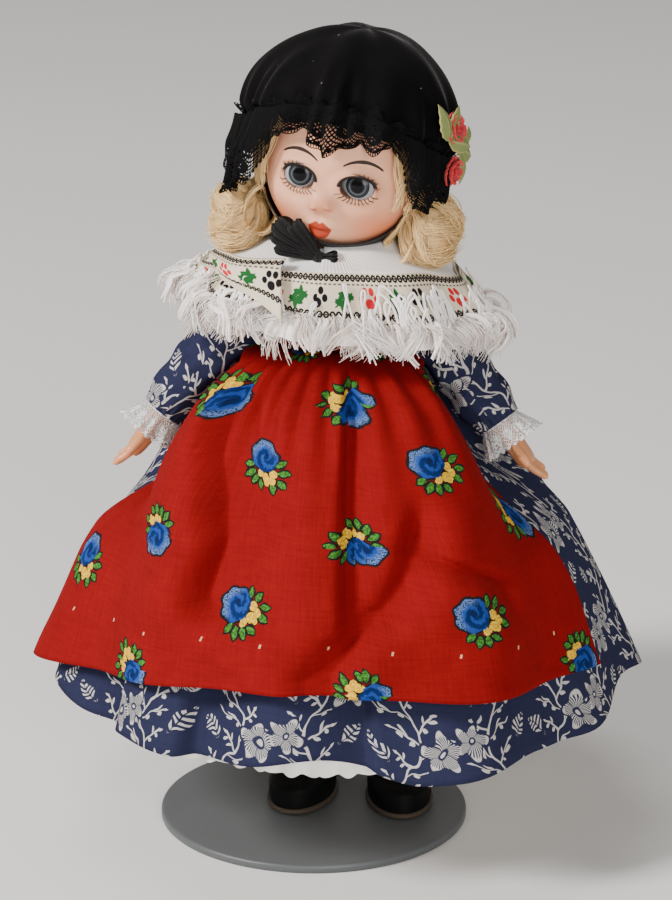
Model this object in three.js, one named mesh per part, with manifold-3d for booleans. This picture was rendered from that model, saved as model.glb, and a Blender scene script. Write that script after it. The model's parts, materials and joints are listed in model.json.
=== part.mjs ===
// A jointed costume doll on a round stand, in millimetres with +Z up. The doll faces -Y and its left side
// is at +X. The origin is on the floor, below the middle of the doll's hips.
import * as THREE from "three";
import { mergeVertices } from "three/addons/utils/BufferGeometryUtils.js";
import Module from "manifold-3d";

const wasm = await Module();
wasm.setup();

// Clearances
const GAP = 0.35; // between two pieces that lie on or move in each other
const SEAT = 0.12; // between two pieces that stand on each other
const SOLE_GAP = 0.5; // below the soles, so that a heel swings clear of the base

// Stand
const BASE_R = 41; // radius of the round base
const BASE_T = 2.2; // its thickness
const BASE_ROUND = 0.7; // rounding of its upper edge
const BASE_X = -6; // middle of the base, across
const BASE_Y = -13; // middle of the base, front to back
const POST_Y = 19; // post behind the doll
const POST_H = 62; // height of the post over the base
const POST_WALL = 1; // wall of the post's tube
const FOOT_R = 6; // radius of the flange at the post's foot
const FOOT_T = 1.4; // thickness of that flange
const WIRE_R = 1.2; // radius of the clip's wire
const ROD_IN = 32; // length of the rod inside the post
const CLIP_RISE = 21; // clip over the hip joint
const CLIP_HALF = 2.25; // half the angle that the clip goes round the waist

// Doll's body
const LEG_LENGTH = 89.5; // sole to hip joint
const TRUNK_LENGTH = 49; // hip joint to shoulder joint
const NECK_RISE = 10.5; // shoulder joint to the neck's ball
const LEAN = 0.04; // sideways lean for each millimetre of height
const HIPS_W = 17.5; // half width at the hips
const HIPS_D = 12.5; // half depth at the hips
const WAIST_W = 15; // half width at the waist
const WAIST_D = 11; // half depth at the waist
const CHEST_W = 16.2; // half width at the chest
const CHEST_D = 11.5; // half depth at the chest
const SHOULDER_W = 16.8; // half width at the shoulders
const SHOULDER_D = 8.8; // half depth at the shoulders
const COLLAR_R = 9.6; // radius of the trunk at the neck
const HOLLOW = 0.64; // inside of the trunk as a share of its outside
const CROTCH = 5; // trunk below the hip joint
const WEB = 4.4; // thickness of the trunk between the legs
const HIP_BALL_R = 8; // ball at the top of the leg
const ARM_BALL_R = 6.3; // ball at the top of the arm
const ARM_SEAT = 3; // arm joint outside the trunk's side
const NECK_BALL_R = 7; // ball at the bottom of the head
const NECK_HOLE_R = 3.8; // hole below the neck's ball

// Stringing
const CORD_R = 1.1; // radius of the elastic
const KNOT_R = 1.6; // radius of its knots
const FERRULE_R = 2.6; // radius of the cups that hold its knots
const FERRULE_WALL = 0.7; // wall of those cups
const FERRULE_L = 5; // length of those cups
const SHANK_R = 0.8; // radius of the shank behind a cup
const SHANK_L = 3; // length of that shank
const RING_R = 2.9; // middle radius of the neck hook's ring
const RING_WIRE_R = 0.5; // radius of its wire
const WASHER_R = 4.2; // radius of the neck hook's washer
const WASHER_T = 1; // its thickness

// Arms
const ARM_LENGTH = 60; // arm joint to finger tips
const ARM_OUT = 0.646; // angle of the arm away from the body
const ARM_FORWARD = 0.227; // angle of the arm to the front
const UPPER_ARM_R = 5.4;
const WRIST_R = 3.8;
const PALM_W = 4.8; // half width of the hand
const PALM_T = 2.7; // half thickness of the hand
const THUMB_R = 1.4;

// Legs and feet
const THIGH_R = 7.1;
const KNEE_R = 5.7;
const CALF_R = 6.2;
const ANKLE_R = 4.6;
const FEET_APART = 23.6; // between the middles of the shoes
const TOE_OUT = 0.16; // angle of the toes to the outside
const SHOE_L = 29; // length of the shoe
const SHOE_W = 17.2; // width of the shoe
const SHOE_H = 13; // height of the shoe over the sole
const SHOE_WALL = 1; // thickness of the shoe's upper
const SOLE_T = 1.2; // thickness of the sole
const WELT = 0.5; // sole outside the upper
const SOCK_RISE = 32; // stocking over the shoe
const SOCK_T = 0.6; // thickness of the stocking

// Head
const HEAD_W = 21.3; // half width
const HEAD_D = 22; // half depth
const HEAD_H = 25; // height over the middle
const JAW_H = 29; // depth of the jaw below the middle
const HEAD_RISE = 30.5; // neck ball to the middle of the head
const HEAD_WALL = 2.6; // thickness of the shell
const HEAD_TURN = -0.13; // turn to the doll's right as it stands
const HEAD_TILT = 0.157; // tilt to the doll's left as it stands
const NOSE = 2.4; // height of the nose
const CHIN = 1.8; // height of the chin
const CHEEK = 1.5; // height of the cheeks
const EYE_R = 6; // radius of an eyeball
const EYE_APART = 15.2; // between the middles of the eyes
const EYE_DROP = 5.8; // eyes below the middle of the head
const EYE_DEPTH = 14.8; // eyes in front of the neck
const EYE_W = 7.8; // width of the eye opening
const EYE_H = 6.4; // height of the eye opening
const AXLE_R = 1; // radius of the axle through the eyes
const WEIGHT = 5.4; // edge of the weight that rocks the eyes
const WEIGHT_BACK = 6; // weight behind the axle
const WEIGHT_DROP = 7.5; // weight below the axle

// Wig and cap
const WIG_GAP = 0.8; // between the head, the wig's cap and the velvet cap
const WIG_T = 1.6; // thickness of the wig's cap
const WIG_FRONT = 1.08; // angle from the crown to the wig's edge at the front
const WIG_SIDE = 1.95; // the same at the side
const WIG_BACK = 2.15; // the same at the back
const CAP_T = 2; // thickness of the velvet cap
const CAP_PUFF = 0.8; // height of its gathers
const CAP_GATHERS = 13; // gathers round the cap
const CAP_FRONT = 1.0; // angle from the crown to the cap's edge at the front
const CAP_SIDE = 1.55; // the same at the side
const CAP_BACK = 1.95; // the same at the back
const LACE_T = 0.8; // thickness of lace
const LACE_DROP = 0.34; // angle that the lace hangs below the cap's edge
const LACE_SIDE = 0.34; // more of that beside the cheeks
const LACE_HALF = 1.85; // half the angle that the lace goes round the face
const CURL_W = 7.5; // half width of the side curls
const CURL_D = 10; // half depth of the side curls
const CURL_H = 10.5; // half height of the side curls
const CURL_OUT = 25.5; // side curls from the middle of the head
const CURL_DROP = 21.2; // side curls below the middle of the head
const CURL_SHIFT = 3.2; // left curls higher than that, right curls lower
const BACK_CURL_R = 7; // radius of the back curls
const TIE_W = 3.2; // width of the chin tie
const TIE_T = 0.9; // thickness of the chin tie
const TIE_HALF = 1.05; // half the angle that the tie goes under the chin
const BOW_L = 10.5; // half length of the bow of loops
const BOW_W = 4.8; // half width of the bow
const BOW_T = 2; // half thickness of the bow
const PETAL_R = 5.2; // radius of a cloth flower
const PETAL_T = 2; // half thickness of a cloth flower
const LEAF_L = 5.6; // half length of a leaf
const LEAF_W = 2.4; // half width of a leaf
const LEAF_T = 0.7; // half thickness of a leaf

// Clothes
const CLOTH_T = 0.9; // thickness of the dress cloth
const WAIST_RISE = 37; // dress waist over the hip joint
const SKIRT_LENGTH = 93; // waist to hem
const HEM_R = 78; // radius at the hem
const SKIRT_SPREAD = 0.56; // power of the fall that widens the skirt: under 1 it is full near the waist
const FOLDS = 11; // folds round the skirt
const FOLD_H = 3.2; // height of the folds at the hem
const HEM_WAVE = 2.6; // rise and fall of the hem
const ARM_DENT = 15; // skirt pressed in below the arms
const APRON_LENGTH = 75; // waist to the apron's hem
const APRON_EDGE = 1.24; // angle of the apron's edges from the front, near the waist
const APRON_RIGHT = 1.27; // angle of its right corner
const APRON_LEFT = 1.19; // angle of its left corner
const APRON_SIDE_LENGTH = 5; // length that its corners have more than its middle
const APRON_STAND = 3; // apron off the skirt, beside its valleys
const APRON_EASE = 1.25; // least room between the apron and the skirt, at the hem
const APRON_FLARE = 3.5; // right corner blown off the skirt
// Valleys in the apron: depth, half width before and after, then the angle at each share of the skirt's length
const RIGHT_VALLEY = [3, 0.09, 0.2, [-0.69, 0.06], [-0.61, 0.15], [-0.56, 0.24], [-0.51, 0.33], [-0.465, 0.42], [-0.5, 0.56]];
const MIDDLE_VALLEY = [2.6, 0.03, 0.1, [0.19, 0.02], [0.18, 0.13], [0.165, 0.26], [0.15, 0.4], [0.14, 0.54]];
const LEFT_VALLEY = [2.8, 0.1, 0.15, [0.5, 0.13], [0.42, 0.25], [0.39, 0.4], [0.33, 0.53], [0.2, 0.6], [0.06, 0.66], [0, 0.74]];
const BILLOW = 1.2; // skirt blown out on the right side
const ELBOW_BILLOW = 4; // skirt pushed out in front of the right elbow
const BILLOW_AT = 1.15; // angle of that from the front
const APRON_T = 0.9; // thickness of the apron
const BAND_H = 4.2; // height of the apron's waistband
const BAND_T = 1; // thickness of the waistband
const TAIL_L = 34; // length of the waistband's tails at the back
const LOOP_L = 13; // length of the back bow's loops
const SLIP_IN = 6.2; // petticoat inside the skirt at the hem
const SLIP_SPREAD = 0.86; // power of the fall that widens the petticoat
const SLIP_T = 0.9; // thickness of the petticoat
const SLIP_RISE = 29; // petticoat's waist over the hip joint
const SLIP_LENGTH = 80; // its waist to its lace
const SLIP_LACE = 7; // depth of its lace
const SLEEVE_CAP_R = 8.7; // radius of the sleeve at the shoulder
const SLEEVE_R = 7.6; // radius of the sleeve below the elbow
const SLEEVE_PUFF = 2.3; // fullness of the sleeve over the shoulder
const SLEEVE_WRIST_R = 5.8; // radius of the sleeve at its end
const HAND_SHOWN = 14; // hand outside the sleeve
const CUFF_L = 6; // length of the lace cuff
const CUFF_FLARE = 2.6; // flare of the lace cuff
const SHAWL_NECK_W = 15.5; // half width of the shawl's neck edge
const SHAWL_NECK_D = 14; // half depth of the shawl's neck edge
const SHAWL_TOP = 2; // neck edge over the neck's ball
const BRAID_W = 31; // half width at the braid's upper edge
const BRAID_D = 23.5; // half depth at the braid's upper edge
const BRAID_DROP = 4.6; // braid's upper edge below the neck edge
const EDGE_W = 39.5; // half width at the shawl's lower edge
const EDGE_D = 27; // half depth at the shawl's lower edge
const EDGE_DROP = 12; // shawl's lower edge below the neck edge
const EDGE_SLANT = 4; // lower edge lower than that on the left, higher on the right
const EDGE_PULL = 4; // lower edge narrower on the right side
const SHAWL_T = 1; // thickness of the shawl
const SHAWL_WAVE = 0.7; // waves of the shawl
const BRAID_T = 0.6; // thickness of the braid
const FRINGE_L = 9.5; // length of the fringe
const FRINGE_T = 3.4; // thickness of the fringe
const FRINGE_OUT = 3; // fringe outside the shawl's edge
const TIP_T = 1; // thickness of the shawl's folded end

const TAU = Math.PI * 2;
const { clamp, lerp, smoothstep } = THREE.MathUtils;
const at = (x, y, z) => new THREE.Vector3(x, y, z);

// Heights that follow from the sizes
const SOLE_Z = BASE_T + SOLE_GAP;
const HIP_Z = SOLE_Z + LEG_LENGTH;
const SHOULDER_Z = HIP_Z + TRUNK_LENGTH;
const NECK_Z = SHOULDER_Z + NECK_RISE;
const WAIST_Z = HIP_Z + WAIST_RISE;
const CLIP_Z = HIP_Z + CLIP_RISE;
const HIP_X = HIP_BALL_R + GAP + WEB / 2;
const SHOULDER_X = SHOULDER_W + ARM_SEAT;
const SLEEVE_END = ARM_LENGTH - HAND_SHOWN;

// The doll's leaning middle line
function axisX(z) {
  return LEAN * (HIP_Z - z);
}

// Triangles over shared points, without collapsed ones, facing outward.
class Skin {
  constructor() {
    this.points = [];
    this.known = new Map();
    this.triangles = [];
  }

  index(p) {
    const key = [p.x, p.y, p.z].map((v) => Math.round(v * 2000)).join(",");
    if (!this.known.has(key)) {
      this.known.set(key, this.points.length);
      this.points.push(p);
    }
    return this.known.get(key);
  }

  triangle(a, b, c) {
    const t = [this.index(a), this.index(b), this.index(c)];
    if (new Set(t).size === 3) {
      this.triangles.push(t);
    }
  }

  quad(a, b, c, d) {
    this.triangle(a, b, c);
    this.triangle(a, c, d);
  }

  geometry() {
    let volume = 0;
    for (const [a, b, c] of this.triangles) {
      volume += this.points[a].dot(this.points[b].clone().cross(this.points[c]));
    }
    const order = volume < 0 ? this.triangles.map(([a, b, c]) => [a, c, b]) : this.triangles;
    const g = new THREE.BufferGeometry();
    const flat = this.points.flatMap((p) => [p.x, p.y, p.z]);
    g.setAttribute("position", new THREE.Float32BufferAttribute(flat, 3));
    g.setIndex(order.flat());
    return g;
  }
}

// A solid through closed rings of points, with both ends filled, or joined end to end.
function loft(rings, joined = false) {
  const s = new Skin();
  const n = rings[0].length;
  const steps = joined ? rings.length : rings.length - 1;
  for (let i = 0; i < steps; i++) {
    const a = rings[i];
    const b = rings[(i + 1) % rings.length];
    for (let j = 0; j < n; j++) {
      const k = (j + 1) % n;
      s.quad(a[j], a[k], b[k], b[j]);
    }
  }
  if (!joined) {
    const ends = [rings[0].slice().reverse(), rings[rings.length - 1]];
    for (const end of ends) {
      const middle = end.reduce((sum, p) => sum.add(p), at(0, 0, 0)).divideScalar(n);
      for (let j = 0; j < n; j++) {
        s.triangle(middle, end[j], end[(j + 1) % n]);
      }
    }
  }
  return s.geometry();
}

// A solid between an outer and an inner grid of points, closed along its edges.
function sheet(outer, inner, wrap) {
  const s = new Skin();
  const rows = outer.length;
  const n = outer[0].length;
  const columns = wrap ? n : n - 1;
  for (let j = 0; j < columns; j++) {
    const k = (j + 1) % n;
    for (let i = 0; i + 1 < rows; i++) {
      s.quad(outer[i][j], outer[i][k], outer[i + 1][k], outer[i + 1][j]);
      s.quad(inner[i][k], inner[i][j], inner[i + 1][j], inner[i + 1][k]);
    }
    s.quad(outer[0][k], outer[0][j], inner[0][j], inner[0][k]);
    s.quad(outer[rows - 1][j], outer[rows - 1][k], inner[rows - 1][k], inner[rows - 1][j]);
  }
  if (!wrap) {
    for (let i = 0; i + 1 < rows; i++) {
      s.quad(outer[i][0], outer[i + 1][0], inner[i + 1][0], inner[i][0]);
      s.quad(outer[i + 1][n - 1], outer[i][n - 1], inner[i][n - 1], inner[i + 1][n - 1]);
    }
  }
  return s.geometry();
}

// Points of a function of a row and a column, both from 0 to 1.
function grid(rows, columns, wrap, point) {
  const list = [];
  for (let i = 0; i <= rows; i++) {
    const row = [];
    for (let j = 0; j <= columns - (wrap ? 1 : 0); j++) {
      row.push(point(i / rows, j / columns));
    }
    list.push(row);
  }
  return list;
}

// A closed profile of [radius, height] pairs turned round the Z axis.
function turned(profile, sides) {
  return loft(
    profile.map(([r, z]) => ringAt(0, 0, z, r, r, sides)),
    profile[0][0] > 0 && profile[profile.length - 1][0] > 0,
  );
}

function ringAt(x, y, z, rx, ry, sides) {
  const ring = [];
  for (let j = 0; j < sides; j++) {
    const a = (TAU * j) / sides;
    ring.push(at(x + rx * Math.cos(a), y + ry * Math.sin(a), z));
  }
  return ring;
}

// A round bar along a curve.
function bar(curve, radius, steps, sides) {
  const frames = curve.computeFrenetFrames(steps, false);
  const rings = [];
  for (let i = 0; i <= steps; i++) {
    const p = curve.getPointAt(i / steps);
    const ring = [];
    for (let j = 0; j < sides; j++) {
      const a = (TAU * j) / sides;
      const side = frames.normals[i].clone().multiplyScalar(Math.cos(a) * radius);
      const up = frames.binormals[i].clone().multiplyScalar(Math.sin(a) * radius);
      ring.push(p.clone().add(side).add(up));
    }
    rings.push(ring);
  }
  return loft(rings);
}

function ball(x, y, z, r, sides = 18) {
  return new THREE.SphereGeometry(r, sides, Math.round(sides * 0.6)).rotateX(Math.PI / 2).translate(x, y, z);
}

// A ball or its seat for a joint that turns round the X axis
function jointBall(x, z, r) {
  return new THREE.SphereGeometry(r, 12, 8).rotateZ(Math.PI / 2).translate(x, 0, z);
}

function rod(r, from, to, sides = 12) {
  return turned([[0, from], [r, from], [r, to], [0, to]], sides);
}

function alongX(geometry) {
  return geometry.rotateY(Math.PI / 2);
}

function solid(geometry) {
  const g = geometry.index ? geometry.clone() : geometry;
  g.deleteAttribute("normal");
  g.deleteAttribute("uv");
  const m = mergeVertices(g, 1e-4);
  const t = m.index.array;
  const kept = [];
  for (let i = 0; i < t.length; i += 3) {
    if (t[i] !== t[i + 1] && t[i + 1] !== t[i + 2] && t[i] !== t[i + 2]) {
      kept.push(t[i], t[i + 1], t[i + 2]);
    }
  }
  const mesh = new wasm.Mesh({
    numProp: 3,
    vertProperties: Float32Array.from(m.attributes.position.array),
    triVerts: Uint32Array.from(kept),
  });
  mesh.merge();
  return new wasm.Manifold(mesh);
}

function geometryOf(manifold) {
  const mesh = manifold.simplify(0.02).getMesh();
  const g = new THREE.BufferGeometry();
  g.setAttribute("position", new THREE.Float32BufferAttribute(Array.from(mesh.vertProperties), 3));
  g.setIndex(Array.from(mesh.triVerts));
  return g;
}

function join(...geometries) {
  return geometries.map(solid).reduce((a, b) => a.add(b));
}

function cut(body, ...geometries) {
  return geometries.map(solid).reduce((a, b) => a.subtract(b), body);
}

// Materials
function surface(hex, roughness, metalness = 0) {
  return new THREE.MeshStandardMaterial({ color: hex, roughness, metalness });
}

const GREY_PAINT = surface("#75797e", 0.5);
const STEEL = surface("#a9abad", 0.35, 0.9);
const SKIN = surface("#f0b48c", 0.45);
const EYE = surface("#8f9aa6", 0.2);
const BRASS = surface("#9c7b3c", 0.4, 0.8);
const LEAD = surface("#5d5f63", 0.6, 0.6);
const ELASTIC = surface("#e9e3d6", 0.9);
const HAIR = surface("#d9b36c", 0.6);
const VELVET = surface("#17161a", 0.95);
const RED_CLOTH = surface("#c22034", 0.85);
const LEAF_CLOTH = surface("#3e6b35", 0.8);
const INDIGO = surface("#3c4f86", 0.85);
const WHITE_LACE = surface("#ece6da", 0.9);
const APRON_RED = surface("#b23236", 0.85);
const WHITE_COTTON = surface("#efece6", 0.9);
const BRAID = surface("#d8c9a4", 0.85);
const SHOE_BLACK = surface("#1b1a1c", 0.35);
const SOLE_TAN = surface("#a07a4e", 0.7);
const STOCKING = surface("#f2efe8", 0.85);

const doll = new THREE.Group();
doll.name = "costume_doll";

function put(name, shape, material, group = doll) {
  const mesh = new THREE.Mesh(shape.isBufferGeometry ? shape : geometryOf(shape), material);
  mesh.name = name;
  group.add(mesh);
}

// Stand: a disc, a tube with a flange, and a wire clip whose rod slides in the tube
const POST_X = axisX(CLIP_Z);
const POST_BORE = WIRE_R + GAP;
const POST_R = POST_BORE + POST_WALL;
const POST_BOTTOM = BASE_T + SEAT;
const POST_TOP = BASE_T + POST_H;

put(
  "stand_base",
  turned([[0, 0], [BASE_R, 0], [BASE_R, BASE_T - BASE_ROUND], [BASE_R - BASE_ROUND, BASE_T], [0, BASE_T]], 40)
    .translate(BASE_X, BASE_Y, 0),
  GREY_PAINT,
);
put(
  "stand_post",
  turned(
    [
      [POST_BORE, POST_BOTTOM],
      [FOOT_R, POST_BOTTOM],
      [FOOT_R, POST_BOTTOM + FOOT_T],
      [POST_R, POST_BOTTOM + FOOT_T],
      [POST_R, POST_TOP],
      [POST_BORE, POST_TOP],
    ],
    14,
  ).translate(POST_X, POST_Y, 0),
  STEEL,
);

// Half width and half depth of the trunk at a height
const TRUNK = [
  [HIP_Z - CROTCH, HIPS_W * 0.72, HIPS_D * 0.62],
  [HIP_Z, HIPS_W * 0.95, HIPS_D * 0.92],
  [HIP_Z + 6, HIPS_W, HIPS_D],
  [HIP_Z + TRUNK_LENGTH * 0.45, WAIST_W, WAIST_D],
  [HIP_Z + TRUNK_LENGTH * 0.78, CHEST_W, CHEST_D],
  [SHOULDER_Z, SHOULDER_W, SHOULDER_D],
  [SHOULDER_Z + NECK_RISE * 0.45, SHOULDER_W * 0.8, SHOULDER_D * 0.97],
  [SHOULDER_Z + NECK_RISE * 0.76, COLLAR_R, SHOULDER_D * 0.92],
];

function trunkHalf(z) {
  let i = 0;
  while (i + 2 < TRUNK.length && z > TRUNK[i + 1][0]) {
    i++;
  }
  const [za, wa, da] = TRUNK[i];
  const [zb, wb, db] = TRUNK[i + 1];
  const t = smoothstep(z, za, zb);
  return [lerp(wa, wb, t), lerp(da, db, t)];
}

function trunkRing(z, out, sides = 18) {
  const [w, d] = trunkHalf(z);
  return ringAt(axisX(z), 0, z, w + out, d + out, sides);
}

const clipRing = [];
for (let i = 0; i <= 20; i++) {
  const a = Math.PI / 2 + lerp(-CLIP_HALF, CLIP_HALF, i / 20);
  const [w, d] = trunkHalf(CLIP_Z);
  const out = GAP + WIRE_R;
  clipRing.push(at(axisX(CLIP_Z) + (w + out) * Math.cos(a), (d + out) * Math.sin(a), CLIP_Z));
}
const CLIP_BACK = trunkHalf(CLIP_Z)[1] + GAP + WIRE_R;
const rodLine = [
  at(POST_X, CLIP_BACK, CLIP_Z),
  at(POST_X, lerp(CLIP_BACK, POST_Y, 0.7), CLIP_Z - 1),
  at(POST_X, POST_Y, CLIP_Z - 5),
  at(POST_X, POST_Y, CLIP_Z - 9),
];
put(
  "waist_clip",
  join(
    bar(new THREE.CatmullRomCurve3(clipRing), WIRE_R, 20, 6),
    bar(new THREE.CatmullRomCurve3(rodLine), WIRE_R, 7, 6),
    rod(WIRE_R, POST_TOP - ROD_IN, CLIP_Z - 8, 8).translate(POST_X, POST_Y, 0),
  ),
  STEEL,
);

// Trunk: hollow, with seats for the four limbs and the head
const trunkZ = [...TRUNK.map((row) => row[0])];
trunkZ.splice(4, 0, lerp(TRUNK[3][0], TRUNK[4][0], 0.5));
trunkZ.splice(3, 0, lerp(TRUNK[2][0], TRUNK[3][0], 0.5));
const hollowZ = [HIP_Z + 13, HIP_Z + TRUNK_LENGTH * 0.45, HIP_Z + TRUNK_LENGTH * 0.78, SHOULDER_Z, SHOULDER_Z + 3];
const hollow = loft(
  hollowZ.map((z) => {
    const [w, d] = trunkHalf(z);
    return ringAt(axisX(z), 0, z, w * HOLLOW, d * HOLLOW, 14);
  }),
);
const SHOULDER_AT = axisX(SHOULDER_Z);
const NECK_AT = axisX(NECK_Z);
const belowHip = (side) =>
  new THREE.BoxGeometry(40, 60, 40).translate(side * (20 + WEB / 2), 0, HIP_Z - 20);
put(
  "torso",
  cut(
    join(loft(trunkZ.map((z) => trunkRing(z, 0)))),
    hollow,
    belowHip(1),
    belowHip(-1),
    jointBall(HIP_X, HIP_Z, HIP_BALL_R + GAP),
    jointBall(-HIP_X, HIP_Z, HIP_BALL_R + GAP),
    alongX(rod(FERRULE_R + GAP, -HIP_X, HIP_X)).translate(0, 0, HIP_Z),
    jointBall(SHOULDER_AT + SHOULDER_X, SHOULDER_Z, ARM_BALL_R + GAP),
    jointBall(SHOULDER_AT - SHOULDER_X, SHOULDER_Z, ARM_BALL_R + GAP),
    alongX(rod(FERRULE_R + GAP, -SHOULDER_X, SHOULDER_X)).translate(SHOULDER_AT, 0, SHOULDER_Z),
    ball(NECK_AT, 0, NECK_Z, NECK_BALL_R + GAP, 16),
    rod(NECK_HOLE_R, SHOULDER_Z - 2, NECK_Z).translate(NECK_AT, 0, 0),
  ),
  SKIN,
);

// Elastic from ball to ball: a straight cord with a knot held in a cup at each end
function elastic(reach) {
  const knot = reach - KNOT_R;
  return alongX(
    turned(
      [
        [0, -reach],
        [KNOT_R * 0.8, -reach + KNOT_R * 0.3],
        [KNOT_R, -knot],
        [CORD_R, -knot + KNOT_R * 0.8],
        [CORD_R, knot - KNOT_R * 0.8],
        [KNOT_R, knot],
        [KNOT_R * 0.8, reach - KNOT_R * 0.3],
        [0, reach],
      ],
      8,
    ),
  );
}

function ferrule(side, start) {
  const inside = FERRULE_R - FERRULE_WALL;
  const back = start + FERRULE_L;
  const cup = alongX(
    turned(
      [
        [0, back - FERRULE_WALL],
        [inside, back - FERRULE_WALL],
        [inside, start + FERRULE_WALL],
        [CORD_R + GAP * 0.7, start + FERRULE_WALL],
        [CORD_R + GAP * 0.7, start],
        [FERRULE_R, start],
        [FERRULE_R, back],
        [SHANK_R, back],
        [SHANK_R, back + SHANK_L],
        [0, back + SHANK_L],
      ],
      10,
    ),
  );
  return mirrored(cup, side);
}

function seatOf(ballR) {
  return [
    alongX(rod(FERRULE_R + GAP * 0.6, -ballR - 1, FERRULE_L - ballR + SEAT, 10)),
    alongX(rod(SHANK_R + GAP * 0.6, -ballR, FERRULE_L + SHANK_L - ballR + GAP, 8)),
  ];
}

const ARM_CUP = SHOULDER_X - ARM_BALL_R;
const LEG_CUP = HIP_X - HIP_BALL_R;
const KNOT_END = FERRULE_L - FERRULE_WALL - GAP;
put("arm_elastic", elastic(ARM_CUP + KNOT_END).translate(SHOULDER_AT, 0, SHOULDER_Z), ELASTIC);
put("leg_elastic", elastic(LEG_CUP + KNOT_END).translate(0, 0, HIP_Z), ELASTIC);

function mirrored(geometry, side) {
  if (side > 0) {
    return geometry;
  }
  const g = geometry.clone().scale(-1, 1, 1);
  const t = g.index.array;
  for (let i = 0; i < t.length; i += 3) {
    [t[i + 1], t[i + 2]] = [t[i + 2], t[i + 1]];
  }
  return g;
}

// Arm in its own frame: the joint at the origin, the trunk at -X
const ARM_DIR = at(
  Math.sin(ARM_OUT),
  -Math.cos(ARM_OUT) * Math.sin(ARM_FORWARD),
  -Math.cos(ARM_OUT) * Math.cos(ARM_FORWARD),
);
const ARM_WIDE = at(0, -1, 0).addScaledVector(ARM_DIR, ARM_DIR.y).normalize();
const ARM_THICK = ARM_DIR.clone().cross(ARM_WIDE);

function armRing(d, wide, thick, sides) {
  const ring = [];
  for (let j = 0; j < sides; j++) {
    const a = (TAU * j) / sides;
    ring.push(
      ARM_DIR.clone()
        .multiplyScalar(d)
        .addScaledVector(ARM_WIDE, wide * Math.cos(a))
        .addScaledVector(ARM_THICK, thick * Math.sin(a)),
    );
  }
  return ring;
}

const WRIST_D = ARM_LENGTH * 0.74;
const armShape = loft([
  armRing(1, UPPER_ARM_R * 0.8, UPPER_ARM_R * 0.8, 10),
  armRing(ARM_LENGTH * 0.14, UPPER_ARM_R, UPPER_ARM_R, 10),
  armRing(ARM_LENGTH * 0.36, UPPER_ARM_R * 0.94, UPPER_ARM_R * 0.94, 10),
  armRing(ARM_LENGTH * 0.55, UPPER_ARM_R * 0.84, UPPER_ARM_R * 0.84, 10),
  armRing(WRIST_D, WRIST_R, WRIST_R * 0.92, 10),
  armRing(ARM_LENGTH * 0.82, PALM_W, PALM_T, 10),
  armRing(ARM_LENGTH * 0.91, PALM_W * 0.95, PALM_T * 0.9, 10),
  armRing(ARM_LENGTH * 0.98, PALM_W * 0.6, PALM_T * 0.65, 10),
  armRing(ARM_LENGTH, PALM_W * 0.2, PALM_T * 0.25, 10),
]);
const thumbFrom = ARM_DIR.clone().multiplyScalar(ARM_LENGTH * 0.8).addScaledVector(ARM_WIDE, PALM_W * 0.6);
const thumbTo = ARM_DIR.clone().multiplyScalar(ARM_LENGTH * 0.91).addScaledVector(ARM_WIDE, PALM_W * 1.35);
const thumb = bar(new THREE.LineCurve3(thumbFrom, thumbTo), THUMB_R, 2, 6);
const armSolid = cut(join(jointBall(0, 0, ARM_BALL_R), armShape, thumb), ...seatOf(ARM_BALL_R));

// Sleeve and cuff: the sleeve starts upright at the side of the bodice and turns along the arm
const SIDE_X = Math.max(SHOULDER_W, CHEST_W) + GAP + CLOTH_T;
const SLEEVE_START = SIDE_X + 2 * GAP - SHOULDER_X;

function sleeveRing(t, out, sides) {
  const full = lerp(SLEEVE_CAP_R, SLEEVE_R, smoothstep(t, 0, 0.6)) + SLEEVE_PUFF * Math.exp(-(((t - 0.13) / 0.1) ** 2));
  const r = lerp(full, SLEEVE_WRIST_R, smoothstep(t, 0.84, 1)) + out;
  const turn = smoothstep(t, 0, 0.3);
  const middle = ARM_DIR.clone().multiplyScalar(SLEEVE_END * t);
  middle.x = Math.max(middle.x, lerp(SLEEVE_START, middle.x, turn));
  const ring = [];
  const normal = at(1, 0, 0).lerp(ARM_DIR, turn).normalize();
  const wide = at(0, -1, 0).addScaledVector(normal, normal.y).normalize();
  const thick = normal.clone().cross(wide);
  for (let j = 0; j < sides; j++) {
    const a = (TAU * j) / sides;
    const gather = 1 + 0.035 * Math.sin(t * Math.PI) * Math.cos(5 * a + 7 * t);
    ring.push(
      middle
        .clone()
        .addScaledVector(wide, r * gather * Math.cos(a))
        .addScaledVector(thick, r * gather * Math.sin(a)),
    );
  }
  return ring;
}

const sleeveRows = [0, 0.12, 0.26, 0.45, 0.66, 0.88, 1];
const sleeveShape = sheet(
  sleeveRows.map((t) => sleeveRing(t, 0, 15)),
  sleeveRows.map((t) => sleeveRing(t, -CLOTH_T, 15)),
  true,
);

function cuffRing(t, out, sides) {
  const r = SLEEVE_WRIST_R - CLOTH_T * 0.5 + CUFF_FLARE * t + out;
  const ring = armRing(SLEEVE_END + GAP + CUFF_L * t, r, r, sides);
  const middle = ARM_DIR.clone().multiplyScalar(SLEEVE_END + GAP + CUFF_L * t);
  return ring.map((p, j) => {
    const wave = 1 + 0.07 * t * (j % 2 === 0 ? 1 : -1);
    return p.sub(middle).multiplyScalar(wave).add(middle);
  });
}

const cuffRows = [0, 1];
const cuffShape = sheet(
  cuffRows.map((t) => cuffRing(t, 0, 18)),
  cuffRows.map((t) => cuffRing(t, -LACE_T, 18)),
  true,
);

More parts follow.
